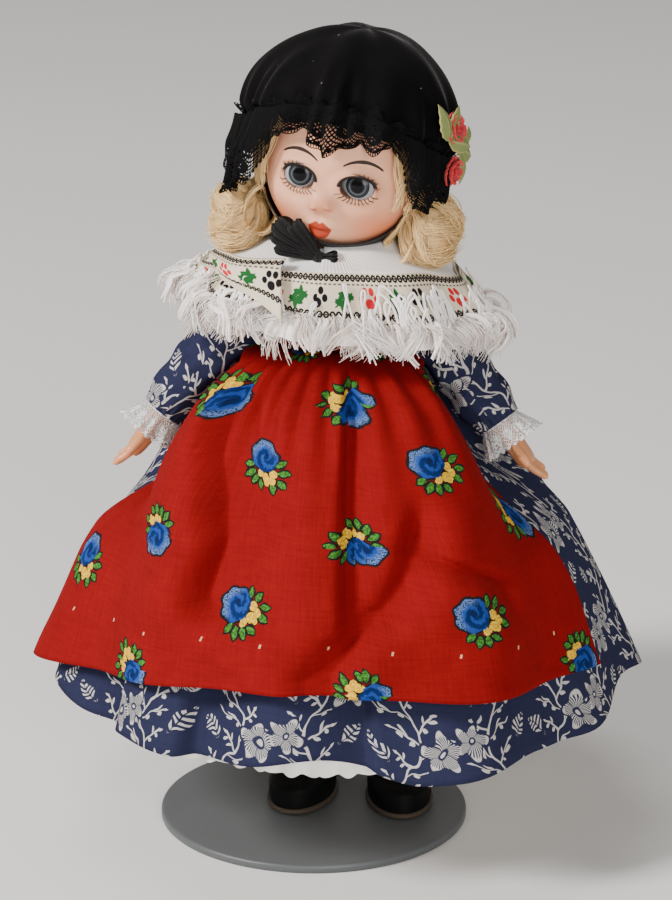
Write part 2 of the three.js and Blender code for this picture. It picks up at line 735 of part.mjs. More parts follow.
for (const [side, word] of [[1, "left"], [-1, "right"]]) {
  const x = SHOULDER_AT + side * SHOULDER_X;
  const place = (g) => mirrored(g, side).clone().translate(x, 0, SHOULDER_Z);
  put(`${word}_arm`, place(geometryOf(armSolid)), SKIN);
  put(`${word}_arm_ferrule`, ferrule(side, ARM_CUP).translate(SHOULDER_AT, 0, SHOULDER_Z), STEEL);
  put(`${word}_sleeve`, place(sleeveShape), INDIGO);
  put(`${word}_cuff_lace`, place(cuffShape), WHITE_LACE);
}

// Leg, stocking and shoe
function footX(side) {
  return axisX(SOLE_Z) + (side * FEET_APART) / 2;
}

function legX(side, z) {
  return lerp(footX(side), side * HIP_X, (z - SOLE_Z) / LEG_LENGTH);
}

const LEG = [
  [SOLE_T + 5, ANKLE_R],
  [SHOE_H, ANKLE_R],
  [LEG_LENGTH * 0.24, ANKLE_R * 1.1],
  [LEG_LENGTH * 0.38, CALF_R],
  [LEG_LENGTH * 0.5, KNEE_R],
  [LEG_LENGTH * 0.66, THIGH_R * 0.95],
  [LEG_LENGTH * 0.86, THIGH_R],
  [LEG_LENGTH - 2, THIGH_R * 0.86],
];

function legR(h) {
  let i = 0;
  while (i + 2 < LEG.length && h > LEG[i + 1][0]) {
    i++;
  }
  return lerp(LEG[i][1], LEG[i + 1][1], smoothstep(h, LEG[i][0], LEG[i + 1][0]));
}

// Outline of the shoe at a share of its height: half length, half width and middle
const SHOE = [
  [0, 0.5, 0.5, -0.28],
  [0.35, 0.49, 0.5, -0.27],
  [0.62, 0.4, 0.47, -0.17],
  [0.84, 0.3, 0.43, -0.05],
  [1, 0.25, 0.4, 0],
];

function shoeRing(side, h, inset, z, sides) {
  let i = 0;
  while (i + 2 < SHOE.length && h > SHOE[i + 1][0]) {
    i++;
  }
  const t = smoothstep(h, SHOE[i][0], SHOE[i + 1][0]);
  const [l, w, y] = [1, 2, 3].map((k) => lerp(SHOE[i][k], SHOE[i + 1][k], t));
  const turn = side * TOE_OUT;
  const ring = [];
  for (let j = 0; j < sides; j++) {
    const a = (TAU * j) / sides;
    const px = (w * SHOE_W - inset) * Math.cos(a);
    const py = y * SHOE_L + (l * SHOE_L - inset) * Math.sin(a);
    ring.push(
      at(
        footX(side) + px * Math.cos(turn) - py * Math.sin(turn),
        px * Math.sin(turn) + py * Math.cos(turn),
        z,
      ),
    );
  }
  return ring;
}

for (const [side, word] of [[1, "left"], [-1, "right"]]) {
  const upper = SOLE_Z + SOLE_T + SEAT;
  const heights = [0, 0.35, 0.6, 0.82, 1];
  const shoeOut = loft(heights.map((h) => shoeRing(side, h, 0, upper + h * SHOE_H, 16)));
  const roomRing = (h, more) => {
    const z = h > 0 ? h * SHOE_H - (SHOE_WALL + more) * 0.6 : SHOE_WALL + more;
    return shoeRing(side, h, SHOE_WALL + more, upper + z, 16);
  };
  const roomRings = heights.slice(0, -1).map((h) => roomRing(h, 0));
  roomRings.push(shoeRing(side, 1, SHOE_WALL, upper + 1.2 * SHOE_H, 16));
  const foot = loft(heights.slice(0, -1).map((h) => roomRing(h, GAP)));
  const shinZ = [SHOE_H * 0.55, ...LEG.slice(2).map((row) => row[0])];
  const shin = loft(
    shinZ.map((h) => {
      const r = legR(h);
      return ringAt(legX(side, SOLE_Z + h), 0, SOLE_Z + h, r, r, 12);
    }),
  );
  const seats = seatOf(HIP_BALL_R).map((g) => mirrored(g, side).clone().translate(side * HIP_X, 0, HIP_Z));
  put(`${word}_leg`, cut(join(jointBall(side * HIP_X, HIP_Z, HIP_BALL_R), shin, foot), ...seats), SKIN);
  put(`${word}_leg_ferrule`, ferrule(side, LEG_CUP).translate(0, 0, HIP_Z), STEEL);
  const sockH = [0, 0.33, 0.67, 1].map((t) => SOLE_T + SEAT + SHOE_H + GAP + t * SOCK_RISE);
  const sockRing = (h, out) =>
    ringAt(legX(side, SOLE_Z + h), 0, SOLE_Z + h, legR(h) + out, legR(h) + out, 12);
  put(
    `${word}_stocking`,
    sheet(sockH.map((h) => sockRing(h, GAP + SOCK_T)), sockH.map((h) => sockRing(h, GAP)), true),
    STOCKING,
  );
  put(`${word}_shoe`, cut(solid(shoeOut), loft(roomRings)), SHOE_BLACK);
  put(
    `${word}_sole`,
    loft([shoeRing(side, 0, -WELT, SOLE_Z, 18), shoeRing(side, 0, -WELT, SOLE_Z + SOLE_T, 18)]),
    SOLE_TAN,
  );
}

// Bodice round the trunk, open at the arms
const BODICE_TOP = SHOULDER_Z + NECK_RISE * 0.4;
const bodiceZ = [WAIST_Z + GAP, ...trunkZ.filter((z) => z > WAIST_Z + 2 * GAP && z < BODICE_TOP), BODICE_TOP];
put(
  "dress_bodice",
  cut(
    solid(
      sheet(bodiceZ.map((z) => trunkRing(z, GAP + CLOTH_T)), bodiceZ.map((z) => trunkRing(z, GAP)), true),
    ),
    jointBall(SHOULDER_AT + SHOULDER_X, SHOULDER_Z, ARM_BALL_R + 2 * GAP),
    jointBall(SHOULDER_AT - SHOULDER_X, SHOULDER_Z, ARM_BALL_R + 2 * GAP),
  ),
  INDIGO,
);

// Skirt: a bell with folds that grow to the hem. The angle is 0 at the front and grows to the doll's left.
function foldAt(a, u) {
  const wave = 0.62 * Math.cos(FOLDS * a + 0.7) + 0.38 * Math.cos((FOLDS - 4) * a + 2.1);
  return FOLD_H * u ** 1.25 * wave;
}

function dentAt(a, u) {
  const b = Math.abs(a);
  const side = smoothstep(b, 0.84, 1.2) * (1 - smoothstep(b, 1.66, 1.95));
  return ARM_DENT * side * smoothstep(u, 0, 0.115) * (1 - smoothstep(u, 0.3, 0.52));
}

function billowAt(a, u) {
  const side = BILLOW * Math.exp(-(((a + BILLOW_AT) / 0.6) ** 2) - ((u - 0.65) / 0.3) ** 2);
  return side + ELBOW_BILLOW * Math.exp(-(((a + 0.85) / 0.3) ** 2) - ((u - 0.27) / 0.17) ** 2);
}

function hemAt(a) {
  return HEM_WAVE * (0.6 * Math.cos(2 * a + 0.5) + 0.4 * Math.cos(5 * a + 1));
}

function skirtPoint(a, u, out) {
  const [w, d] = trunkHalf(WAIST_Z);
  const grow = GAP + CLOTH_T + out;
  const swell = u ** SKIRT_SPREAD;
  const fold = foldAt(a, u) + billowAt(a, u) - dentAt(a, u);
  const rx = lerp(w + grow, HEM_R + out, swell) + fold;
  const ry = lerp(d + grow, HEM_R + out, swell) + fold;
  const z = WAIST_Z - u * (SKIRT_LENGTH - hemAt(a) * u);
  return at(axisX(z) + rx * Math.sin(a), -ry * Math.cos(a), z);
}

const skirtRows = 6;
const skirtSides = 55;
const around = (v) => (v - 0.5) * TAU;
const fallAt = (t) => t ** 1.5; // rows are closer near the waist, where the skirt turns most
put(
  "dress_skirt",
  sheet(
    grid(skirtRows, skirtSides, true, (t, v) => skirtPoint(around(v), fallAt(t), 0)),
    grid(skirtRows, skirtSides, true, (t, v) => skirtPoint(around(v), fallAt(t), -CLOTH_T)),
    true,
  ),
  INDIGO,
);

// Apron: gathered on a waistband in front of the skirt. It stands off the skirt beside its valleys.
function valleyAt(a, u, [depth, before, after, ...line]) {
  const last = line.length - 1;
  let i = 1;
  while (i < last && line[i][1] < u) i++;
  const share = clamp((u - line[i - 1][1]) / (line[i][1] - line[i - 1][1]), 0, 1);
  const x = a - lerp(line[i - 1][0], line[i][0], share);
  const start = smoothstep(u, line[0][1] - 0.08, line[0][1] + 0.05);
  const end = smoothstep(u, line[last][1], line[last][1] + 0.14);
  return depth * start * (1 - end) * Math.exp(-((x / (x < 0 ? before : after)) ** 2));
}

function apronStand(a, u) {
  const valleys = valleyAt(a, u, RIGHT_VALLEY) + valleyAt(a, u, MIDDLE_VALLEY) + valleyAt(a, u, LEFT_VALLEY);
  const sleeve = smoothstep(Math.abs(a), 0.75, 1.05) * (1 - smoothstep(u, 0.4, 0.6));
  const stand = APRON_STAND * smoothstep(u, 0, 0.12) * (1 - 0.4 * smoothstep(u, 0.6, 0.8)) * (1 - 0.75 * sleeve);
  const flare = APRON_FLARE * Math.exp(-(((a + APRON_RIGHT) / 0.2) ** 2)) * smoothstep(u, 0.6, 0.9);
  return Math.max(0, stand - valleys) + flare;
}

const apronRows = [0, 1, 2, 3, 4].map((i) => fallAt(i / skirtRows)); // the skirt's own rows, then two to the hem

function apronPoint(s, row, out) {
  const middle = APRON_LENGTH / SKIRT_LENGTH;
  const below = Math.max(0, row - 4) / 2;
  const down = lerp(apronRows[Math.min(row, 4)], middle, below);
  const right = -lerp(APRON_EDGE, APRON_RIGHT + 0.2 * (middle - down), smoothstep(down, 0.25, 0.5));
  const left = lerp(APRON_EDGE, APRON_LEFT + 0.1 * (middle - down), smoothstep(down, 0.25, 0.42));
  const a = lerp(right, left, s);
  const u = down + (below * APRON_SIDE_LENGTH * (a / APRON_LEFT) ** 2) / SKIRT_LENGTH;
  return skirtPoint(a, u, 2.4 * GAP + APRON_EASE * u ** 0.5 + apronStand(a, u) + out);
}

const apronFace = (out) => grid(6, 34, false, (t, s) => apronPoint(s, Math.round(6 * t), out));
put("apron", sheet(apronFace(APRON_T), apronFace(0), false), APRON_RED);
const BAND_Z = WAIST_Z + GAP;
const bandOut = GAP + CLOTH_T + GAP;
const bandRows = [BAND_Z, BAND_Z + BAND_H];
put(
  "apron_waistband",
  sheet(bandRows.map((z) => trunkRing(z, bandOut + BAND_T)), bandRows.map((z) => trunkRing(z, bandOut)), true),
  APRON_RED,
);
const BOW_Y = trunkHalf(BAND_Z + BAND_H / 2)[1] + bandOut + BAND_T + GAP;
const BOW_X = axisX(BAND_Z);
const BOW_Z = BAND_Z + BAND_H / 2;
const bowLoops = [];
for (let i = 0; i <= 12; i++) {
  const t = i / 12;
  const pinch = 0.3 + 0.7 * Math.abs(2 * t - 1);
  const x = lerp(-LOOP_L, LOOP_L, t);
  const z = BOW_Z + 1.5 * (2 * t - 1) ** 2;
  const y = BOW_Y + 1.6 + 2.2 * (1 - (2 * t - 1) ** 2) * 0.3;
  bowLoops.push([-1, 1].flatMap((k) => [
    at(BOW_X + x, y + k * 1.6 * pinch, z - k * 3.4 * pinch),
    at(BOW_X + x, y + k * 1.6 * pinch, z + k * 3.4 * pinch),
  ]));
}
function tail(side) {
  const rings = [];
  for (let i = 0; i <= 6; i++) {
    const t = i / 6;
    const u = (fallAt(t) * TAIL_L) / SKIRT_LENGTH;
    const p = skirtPoint(Math.PI - side * (0.1 + 0.16 * t), u, 1.4 + 2 * GAP);
    const half = lerp(1.2, 2.8, t);
    rings.push([
      at(p.x - half, p.y, p.z),
      at(p.x + half, p.y, p.z),
      at(p.x + half, p.y + 1, p.z + 0.4),
      at(p.x - half, p.y + 1, p.z + 0.4),
    ]);
  }
  const top = rings[0].map((p) => p.clone().setZ(BOW_Z).setY(p.y + 1));
  return loft([top, ...rings]);
}
put("apron_bow", join(loft(bowLoops), tail(1), tail(-1)), APRON_RED);

// Petticoat and its lace
const SLIP_Z = HIP_Z + SLIP_RISE;

function slipPoint(a, u, out) {
  const [w, d] = trunkHalf(SLIP_Z);
  const grow = GAP + SLIP_T + out;
  const swell = u ** SLIP_SPREAD;
  const hem = HEM_R - SLIP_IN - FOLD_H * 0.5 + out;
  const wave = FOLD_H * 0.3 * u * Math.cos(FOLDS * a + 0.7);
  const z = SLIP_Z - u * SLIP_LENGTH;
  const rx = lerp(w + grow, hem, swell) + wave;
  const ry = lerp(d + grow, hem, swell) + wave;
  return at(axisX(z) + rx * Math.sin(a), -ry * Math.cos(a), z);
}

put(
  "petticoat",
  sheet(
    grid(3, 33, true, (u, v) => slipPoint(around(v), u, 0)),
    grid(3, 33, true, (u, v) => slipPoint(around(v), u, -SLIP_T)),
    true,
  ),
  WHITE_COTTON,
);
const laceRow = (out) =>
  grid(1, 33, true, (u, v) => {
    const p = slipPoint(around(v), 1, out);
    p.z -= SEAT + u * SLIP_LACE;
    return p;
  });
put("petticoat_lace", sheet(laceRow(0), laceRow(-LACE_T), true), WHITE_LACE);

// Shawl: two halves that meet in front and behind, with braid, fringe and a folded end
const SHAWL_Z = NECK_Z + SHAWL_TOP;

function shawlPoint(a, t, out) {
  const upper = Math.min(t, 1);
  const lower = Math.max(t - 1, 0);
  const edgeW = EDGE_W - EDGE_PULL * Math.max(0, -Math.sin(a));
  const edgeDrop = EDGE_DROP + EDGE_SLANT * Math.sin(a);
  const w = lerp(SHAWL_NECK_W, BRAID_W, upper) + (edgeW - BRAID_W) * lower;
  const d = lerp(SHAWL_NECK_D, BRAID_D, upper) + (EDGE_D - BRAID_D) * lower;
  const front = 0.5 + 0.5 * Math.cos(a);
  const drop = BRAID_DROP * upper * (1 - 0.45 * front ** 3) + (edgeDrop - BRAID_DROP) * lower;
  const wave = SHAWL_WAVE * t * Math.cos(9 * a + 0.4);
  const slope = Math.atan2(EDGE_DROP - BRAID_DROP, EDGE_W - BRAID_W) * Math.min(1, t);
  const reach = out * Math.sin(0.35 + slope);
  return at(
    axisX(SHAWL_Z) + (w + wave + reach) * Math.sin(a),
    -(d + wave + reach) * Math.cos(a),
    SHAWL_Z - drop + out * Math.cos(0.35 + slope),
  );
}

const seam = GAP / EDGE_D;

function halfSheet(side, rows, columns, point, thick) {
  const a = (v) => side * lerp(seam, Math.PI - seam, v);
  return sheet(
    grid(rows, columns, false, (u, v) => point(a(v), u, thick)),
    grid(rows, columns, false, (u, v) => point(a(v), u, 0)),
    false,
  );
}

function fringePoint(a, u, out) {
  const edge = shawlPoint(a, 2, 0);
  const wave = 0.5 * Math.cos(17 * a);
  const swell = FRINGE_T * (0.75 + 0.25 * Math.sin(Math.PI * u));
  const reach = FRINGE_OUT * Math.sin((u * Math.PI) / 2) + (out > 0 ? swell : 0) + wave;
  return at(edge.x + reach * Math.sin(a), edge.y - reach * Math.cos(a), edge.z - GAP - u * FRINGE_L);
}

for (const [side, word] of [[1, "left"], [-1, "right"]]) {
  put(`${word}_shawl`, halfSheet(side, 3, 18, (a, u, out) => shawlPoint(a, 2 * u, out), SHAWL_T), WHITE_COTTON);
  put(
    `${word}_braid`,
    halfSheet(side, 1, 18, (a, u, out) => shawlPoint(a, 1 + u, out + SHAWL_T + GAP), BRAID_T),
    BRAID,
  );
  put(`${word}_fringe`, halfSheet(side, 2, 24, fringePoint, FRINGE_T), WHITE_COTTON);
}

const TIP_LIFT = SHAWL_T + GAP + BRAID_T + 2 * GAP;

function tipPoint(u, v, out) {
  const a = lerp(-0.85, lerp(-0.16, -0.3, u), v);
  return shawlPoint(a, 0.95 + 1.15 * u, TIP_LIFT + out);
}

put(
  "shawl_end",
  sheet(
    grid(2, 5, false, (u, v) => tipPoint(u, v, TIP_T)),
    grid(2, 5, false, (u, v) => tipPoint(u, v, 0)),
    false,
  ),
  BRAID,
);

// Head: its own frame has the neck's ball at the origin; it is turned and tilted as a whole
const head = new THREE.Group();
head.name = "head_group";
head.position.set(NECK_AT, 0, NECK_Z);
head.rotation.set(0, HEAD_TILT, HEAD_TURN);
doll.add(head);
const neck = new THREE.Group();
neck.name = "neck_group";
neck.position.copy(head.position);
neck.rotation.set(0, HEAD_TILT, 0);
doll.add(neck);

const toward = (x, y, z) => at(x, y, z).normalize();
const NOSE_DIR = toward(0, -1, -0.5);
const CHIN_DIR = toward(0, -0.66, -0.78);
const CHEEK_DIRS = [toward(0.56, -0.7, -0.5), toward(-0.56, -0.7, -0.5)];
const near = (d, e, spread) => Math.exp(-d.distanceToSquared(e) / spread);

function headR(d) {
  const r = 1 / Math.hypot(d.x / HEAD_W, d.y / HEAD_D, d.z / (d.z > 0 ? HEAD_H : JAW_H));
  const cheeks = CHEEK_DIRS.reduce((sum, e) => sum + CHEEK * near(d, e, 0.16), 0);
  return r + NOSE * near(d, NOSE_DIR, 0.011) + CHIN * near(d, CHIN_DIR, 0.05) + cheeks;
}

function onHead(d, out) {
  return d.clone().multiplyScalar(headR(d) + out).add(at(0, 0, HEAD_RISE));
}

// Direction at an angle from the crown and an angle round the head from the front
function aim(down, a) {
  return at(Math.sin(down) * Math.sin(a), -Math.sin(down) * Math.cos(a), Math.cos(down));
}

function headShell(out, rows, sides) {
  const rings = [];
  for (let i = 0; i <= rows; i++) {
    const ring = [];
    for (let j = 0; j < sides; j++) {
      ring.push(onHead(aim((Math.PI * i) / rows, (TAU * j) / sides), out));
    }
    rings.push(ring);
  }
  return loft(rings);
}

const EYE_Z = HEAD_RISE - EYE_DROP;
const NECK_FLOOR = -NECK_BALL_R * 0.42;
const neckShape = turned(
  [
    [0, NECK_BALL_R * 0.7],
    [NECK_BALL_R * 0.96, NECK_BALL_R * 0.25],
    [NECK_BALL_R * 0.98, NECK_BALL_R * 0.8],
    [NECK_BALL_R * 1.05, NECK_BALL_R * 1.4],
    [0, NECK_BALL_R * 1.6],
  ],
  20,
);
const eyeCuts = [1, -1].flatMap((side) => {
  const x = (side * EYE_APART) / 2;
  return [
    ball(x, -EYE_DEPTH, EYE_Z, EYE_R + GAP, 14),
    turned([[0, 0], [1, 0], [1, 12], [0, 12]], 14)
      .scale(EYE_W / 2, EYE_H / 2, 1)
      .rotateX(Math.PI / 2)
      .translate(x, -EYE_DEPTH, EYE_Z),
  ];
});
put(
  "head",
  cut(
    join(headShell(0, 18, 24), ball(0, 0, 0, NECK_BALL_R, 16), neckShape),
    headShell(-HEAD_WALL, 9, 12),
    rod(WASHER_R + GAP, NECK_FLOOR, HEAD_RISE - JAW_H + HEAD_WALL + 6),
    rod(SHANK_R + GAP, -NECK_BALL_R - 1, 0),
    ...eyeCuts,
  ),
  SKIN,
  head,
);

// Neck hook: a washer in the head's ball, a shank and a ring round the arm elastic
const ring = new THREE.TorusGeometry(RING_R, RING_WIRE_R, 6, 14).rotateY(Math.PI / 2).translate(0, 0, -NECK_RISE);
put(
  "neck_hook",
  join(
    rod(WASHER_R, NECK_FLOOR + SEAT, NECK_FLOOR + SEAT + WASHER_T),
    rod(SHANK_R, RING_R - NECK_RISE, NECK_FLOOR + SEAT + WASHER_T * 0.5),
    ring,
  ),
  STEEL,
  neck,
);

// Eyes that rock on an axle under a weight
for (const [side, word] of [[1, "left"], [-1, "right"]]) {
  const x = (side * EYE_APART) / 2;
  put(
    `${word}_eye`,
    cut(
      solid(ball(x, -EYE_DEPTH, EYE_Z, EYE_R, 14)),
      alongX(rod(AXLE_R + GAP * 0.7, -EYE_APART, EYE_APART, 8)).translate(0, -EYE_DEPTH, EYE_Z),
    ),
    EYE,
    head,
  );
}
const stemTo = at(0, WEIGHT_BACK - EYE_DEPTH, EYE_Z - WEIGHT_DROP);
const stem = bar(new THREE.LineCurve3(at(0, -EYE_DEPTH, EYE_Z), stemTo), AXLE_R * 0.8, 1, 8);
const axle = alongX(rod(AXLE_R, -EYE_APART * 0.72, EYE_APART * 0.72, 8)).translate(0, -EYE_DEPTH, EYE_Z);
put("eye_rocker", join(axle, stem), BRASS, head);
const stemHole = bar(
  new THREE.LineCurve3(at(0, -EYE_DEPTH, EYE_Z), stemTo.clone().lerp(at(0, -EYE_DEPTH, EYE_Z), -0.05)),
  AXLE_R * 0.8 + GAP * 0.7,
  1,
  8,
);
put(
  "eye_weight",
  cut(solid(new THREE.BoxGeometry(WEIGHT * 1.3, WEIGHT, WEIGHT).translate(0, stemTo.y, stemTo.z)), stemHole),
  LEAD,
  head,
);

// Wig: a cap of hair with curls at both sides and behind
function edgeAt(a, front, side, back) {
  const c = Math.cos(a);
  return c > 0 ? lerp(side, front, c ** 1.4) : lerp(side, back, -c);
}

function capShape(front, side, back, from, thick, puff, rows, sides) {
  const point = (u, v, out) => {
    const a = around(v);
    const edge = edgeAt(a, front, side, back);
    const gather = puff * Math.sin(Math.PI * Math.min(1, u * 1.02)) * (0.6 + 0.4 * Math.cos(CAP_GATHERS * a));
    return onHead(aim(u * edge, a), out + (out > from ? gather : 0));
  };
  return sheet(
    grid(rows, sides, true, (u, v) => point(u, v, from + thick)),
    grid(rows, sides, true, (u, v) => point(u, v, from)),
    true,
  );
}

const WIG_OUT = WIG_GAP + WIG_T;
const CAP_IN = WIG_OUT + WIG_GAP;
put("wig_cap", capShape(WIG_FRONT, WIG_SIDE, WIG_BACK, WIG_GAP, WIG_T, 0, 6, 20), HAIR, head);
put("velvet_cap", capShape(CAP_FRONT, CAP_SIDE, CAP_BACK, CAP_IN, CAP_T, CAP_PUFF, 6, 26), VELVET, head);

function lacePoint(u, v, out) {
  const a = lerp(-LACE_HALF, LACE_HALF, v);
  const drop = LACE_DROP + LACE_SIDE * Math.exp(-(((Math.abs(a) - 1.05) / 0.35) ** 2));
  const edge = edgeAt(a, CAP_FRONT, CAP_SIDE, CAP_BACK) + GAP / HEAD_W + u * drop;
  const ruffle = u * 0.5 * Math.cos(v * 16 * Math.PI);
  return onHead(aim(edge, a), CAP_IN + 0.5 + out + u * 1.4 + ruffle);
}

put(
  "cap_lace",
  sheet(
    grid(2, 32, false, (u, v) => lacePoint(u, v, LACE_T)),
    grid(2, 32, false, (u, v) => lacePoint(u, v, 0)),
    false,
  ),
  VELVET,
  head,
);

// Curls are lumps with the wig's cap, the lace and the velvet cap cut away from them
const underWig = headShell(WIG_OUT + GAP * 2, 12, 16);
const underLace = geometryOf(
  solid(
    sheet(
      grid(1, 32, false, (u, v) => lacePoint(u * 1.08, v, LACE_T + 2 * GAP)),
      grid(1, 32, false, (u, v) => lacePoint(u * 1.08, v, -3)),
      false,
    ),
  ),
);

function lump(middle, rx, ry, rz, waves, rows = 10, sides = 14) {
  const rings = [];
  for (let i = 0; i <= rows; i++) {
    const row = [];
    for (let j = 0; j < sides; j++) {
      const d = aim((Math.PI * i) / rows, (TAU * j) / sides);
      const k = 1 + 0.07 * Math.cos(waves * d.z * 2 + 3 * d.y);
      row.push(at(middle.x + rx * k * d.x, middle.y + ry * k * d.y, middle.z + rz * k * d.z));
    }
    rings.push(row);
  }
  return loft(rings);
}

const shawlRoom = sheet(
  grid(2, 20, true, (u, v) => shawlPoint(around(v), 2 * u, SHAWL_T + BRAID_T + 4 * GAP)),
  grid(2, 20, true, (u, v) => shawlPoint(around(v), 2 * u, -12)),
  true,
);
head.updateMatrixWorld(true);
shawlRoom.applyMatrix4(head.matrixWorld.clone().invert());

function curlLump(side, more) {
  const z = HEAD_RISE - CURL_DROP + side * CURL_SHIFT;
  return lump(at(side * CURL_OUT, -3, z), CURL_W + more, CURL_D + more, CURL_H + more, 4);
}

for (const [side, word] of [[1, "left"], [-1, "right"]]) {
  put(`${word}_curls`, cut(solid(curlLump(side, 0)), underWig, underLace, shawlRoom), HAIR, head);
}

const backArc = [];
for (let i = 0; i <= 10; i++) {
  const a = lerp(0.66 * Math.PI, -0.66 * Math.PI, i / 10);
  const r = HEAD_D + 1;
  backArc.push(at(r * Math.sin(a) * 0.86, r * Math.cos(a), HEAD_RISE - CURL_DROP + 1));
}
const backLine = new THREE.CatmullRomCurve3(backArc);
const backRings = [];
for (let i = 0; i <= 14; i++) {
  const t = i / 14;
  const p = backLine.getPointAt(t);
  const outward = at(p.x, p.y, 0).normalize();
  const r = BACK_CURL_R * (0.72 + 0.28 * Math.sin(Math.PI * t)) * (1 + 0.06 * Math.cos(t * 9 * TAU));
  const row = [];
  for (let j = 0; j < 8; j++) {
    const b = (TAU * j) / 8;
    row.push(p.clone().addScaledVector(outward, r * 0.9 * Math.cos(b)).add(at(0, 0, r * 1.25 * Math.sin(b))));
  }
  backRings.push(row);
}
const sideRoom = [1, -1].map((side) => curlLump(side, GAP));
const capRoom = capShape(CAP_FRONT, CAP_SIDE, CAP_BACK, 0, WIG_OUT + CAP_T + CAP_PUFF + 2 * GAP, 0, 5, 20);
put("back_curls", cut(solid(loft(backRings)), underWig, underLace, capRoom, shawlRoom, ...sideRoom), HAIR, head);

// Tie under the chin with its bow of cord loops
function tiePoint(u, v, out) {
  const b = lerp(-TIE_HALF, TIE_HALF, v);
  const along = (u - 0.5) * (TIE_W / JAW_H);
  const d = toward(Math.sin(b) * 1.1, -0.62 - along + 0.5 * Math.abs(b), -Math.cos(b));
  return onHead(d, GAP + out);
}

put(
  "chin_tie",
  sheet(
    grid(1, 14, false, (u, v) => tiePoint(u, v, TIE_T)),
    grid(1, 14, false, (u, v) => tiePoint(u, v, 0)),
    false,
  ),
  VELVET,
  head,
);
const knotAt = tiePoint(0.2, 0.42, TIE_T + GAP + BOW_T);
const bowShape = lump(at(0, 0, 0), BOW_L, BOW_T, BOW_W, 0, 8, 14)
  .rotateY(0.62)
  .translate(knotAt.x - BOW_L * 0.2, knotAt.y - BOW_T * 0.9, knotAt.z + BOW_L * 0.2);
const faceRoom = headShell(GAP + TIE_T + 1.5 * GAP, 14, 18);
put("chin_bow", cut(solid(bowShape), faceRoom, shawlRoom), VELVET, head);

// Cloth flowers and leaves on the cap's left side
function flower(down, a, out, size) {
  const d = aim(down, a);
  const rings = [];
  for (let i = 0; i <= 5; i++) {
    const row = [];
    for (let j = 0; j < 15; j++) {
      const b = (TAU * j) / 15;
      const up = Math.PI * (i / 5);
      const petal = 1 + 0.16 * Math.cos(5 * b) * Math.sin(up);
      row.push(at(
        size * petal * Math.sin(up) * Math.cos(b),
        size * petal * Math.sin(up) * Math.sin(b),
        -PETAL_T * Math.cos(up),
      ));
    }
    rings.push(row);
  }
  const g = loft(rings);
  g.applyQuaternion(new THREE.Quaternion().setFromUnitVectors(at(0, 0, 1), d));
  const p = onHead(d, out);
  return g.translate(p.x, p.y, p.z);
}

function leaf(down, a, out, turn) {
  const d = aim(down, a);
  const g = lump(at(0, 0, 0), LEAF_L, LEAF_W, LEAF_T, 0, 4, 10);
  g.rotateZ(turn);
  g.applyQuaternion(new THREE.Quaternion().setFromUnitVectors(at(0, 0, 1), d));
  const p = onHead(d, out);
  return g.translate(p.x, p.y, p.z);
}

const CAP_EDGE = CAP_IN + CAP_T;
const CAP_TOP = CAP_EDGE + CAP_PUFF;
put("upper_flower", flower(1.06, 1.3, CAP_TOP + GAP + PETAL_T, PETAL_R), RED_CLOTH, head);
put("lower_flower", flower(1.5, 1.36, CAP_EDGE + GAP + PETAL_T, PETAL_R * 0.85), RED_CLOTH, head);
put("upper_leaf", leaf(0.86, 0.9, CAP_TOP + GAP + LEAF_T, 0.5), LEAF_CLOTH, head);
put("lower_leaf", leaf(1.36, 0.98, CAP_EDGE + GAP + LEAF_T, 1.4), LEAF_CLOTH, head);

export default doll;
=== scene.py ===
"""Looks of a costume doll on a round stand: its moulded head, clothes, trimmings, hair and stand as
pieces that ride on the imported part. Shapes are in millimetres and become metres when a mesh is made.
The doll faces -Y."""
import json
import math

import bmesh
import bpy
import numpy as np
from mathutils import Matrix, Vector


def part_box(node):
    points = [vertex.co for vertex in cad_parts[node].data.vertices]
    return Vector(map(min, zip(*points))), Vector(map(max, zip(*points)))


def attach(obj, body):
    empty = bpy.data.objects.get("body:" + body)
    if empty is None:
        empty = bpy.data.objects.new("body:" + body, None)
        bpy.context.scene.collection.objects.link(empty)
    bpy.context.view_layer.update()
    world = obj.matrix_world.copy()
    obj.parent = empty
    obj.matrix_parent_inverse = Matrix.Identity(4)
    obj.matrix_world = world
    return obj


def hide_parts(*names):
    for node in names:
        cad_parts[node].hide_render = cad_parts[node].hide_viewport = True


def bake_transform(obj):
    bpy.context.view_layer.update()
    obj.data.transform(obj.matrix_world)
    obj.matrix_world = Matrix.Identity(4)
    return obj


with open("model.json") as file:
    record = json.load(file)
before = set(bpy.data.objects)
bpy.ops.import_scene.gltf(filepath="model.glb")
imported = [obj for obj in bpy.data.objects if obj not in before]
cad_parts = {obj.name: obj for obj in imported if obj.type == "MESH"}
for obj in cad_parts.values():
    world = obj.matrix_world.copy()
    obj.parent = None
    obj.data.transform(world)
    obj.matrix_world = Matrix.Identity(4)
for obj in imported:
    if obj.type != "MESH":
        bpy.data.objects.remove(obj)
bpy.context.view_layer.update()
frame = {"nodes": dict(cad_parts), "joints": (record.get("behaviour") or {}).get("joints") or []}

bl_info = {
    "name": "Costume doll",
    "version": (1, 0, 0),
    "blender": (4, 5, 0),
    "location": "View3D > Sidebar > Doll",
    "description": "Builds the looks of a jointed costume doll around its packed part",
    "category": "Object",
}

MM = 0.001
TAU = 2 * math.pi
SIDES = (("left", 1), ("right", -1))
JOINTS = {j["name"]: j for j in frame["joints"]}


def joint_at(name):
    """A joint's place in millimetres."""
    return np.array(JOINTS[name]["pos_m"]) / MM


def box_of(node):
    """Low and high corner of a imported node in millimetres, as two rows."""
    return np.array([tuple(corner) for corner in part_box(node)]) / MM


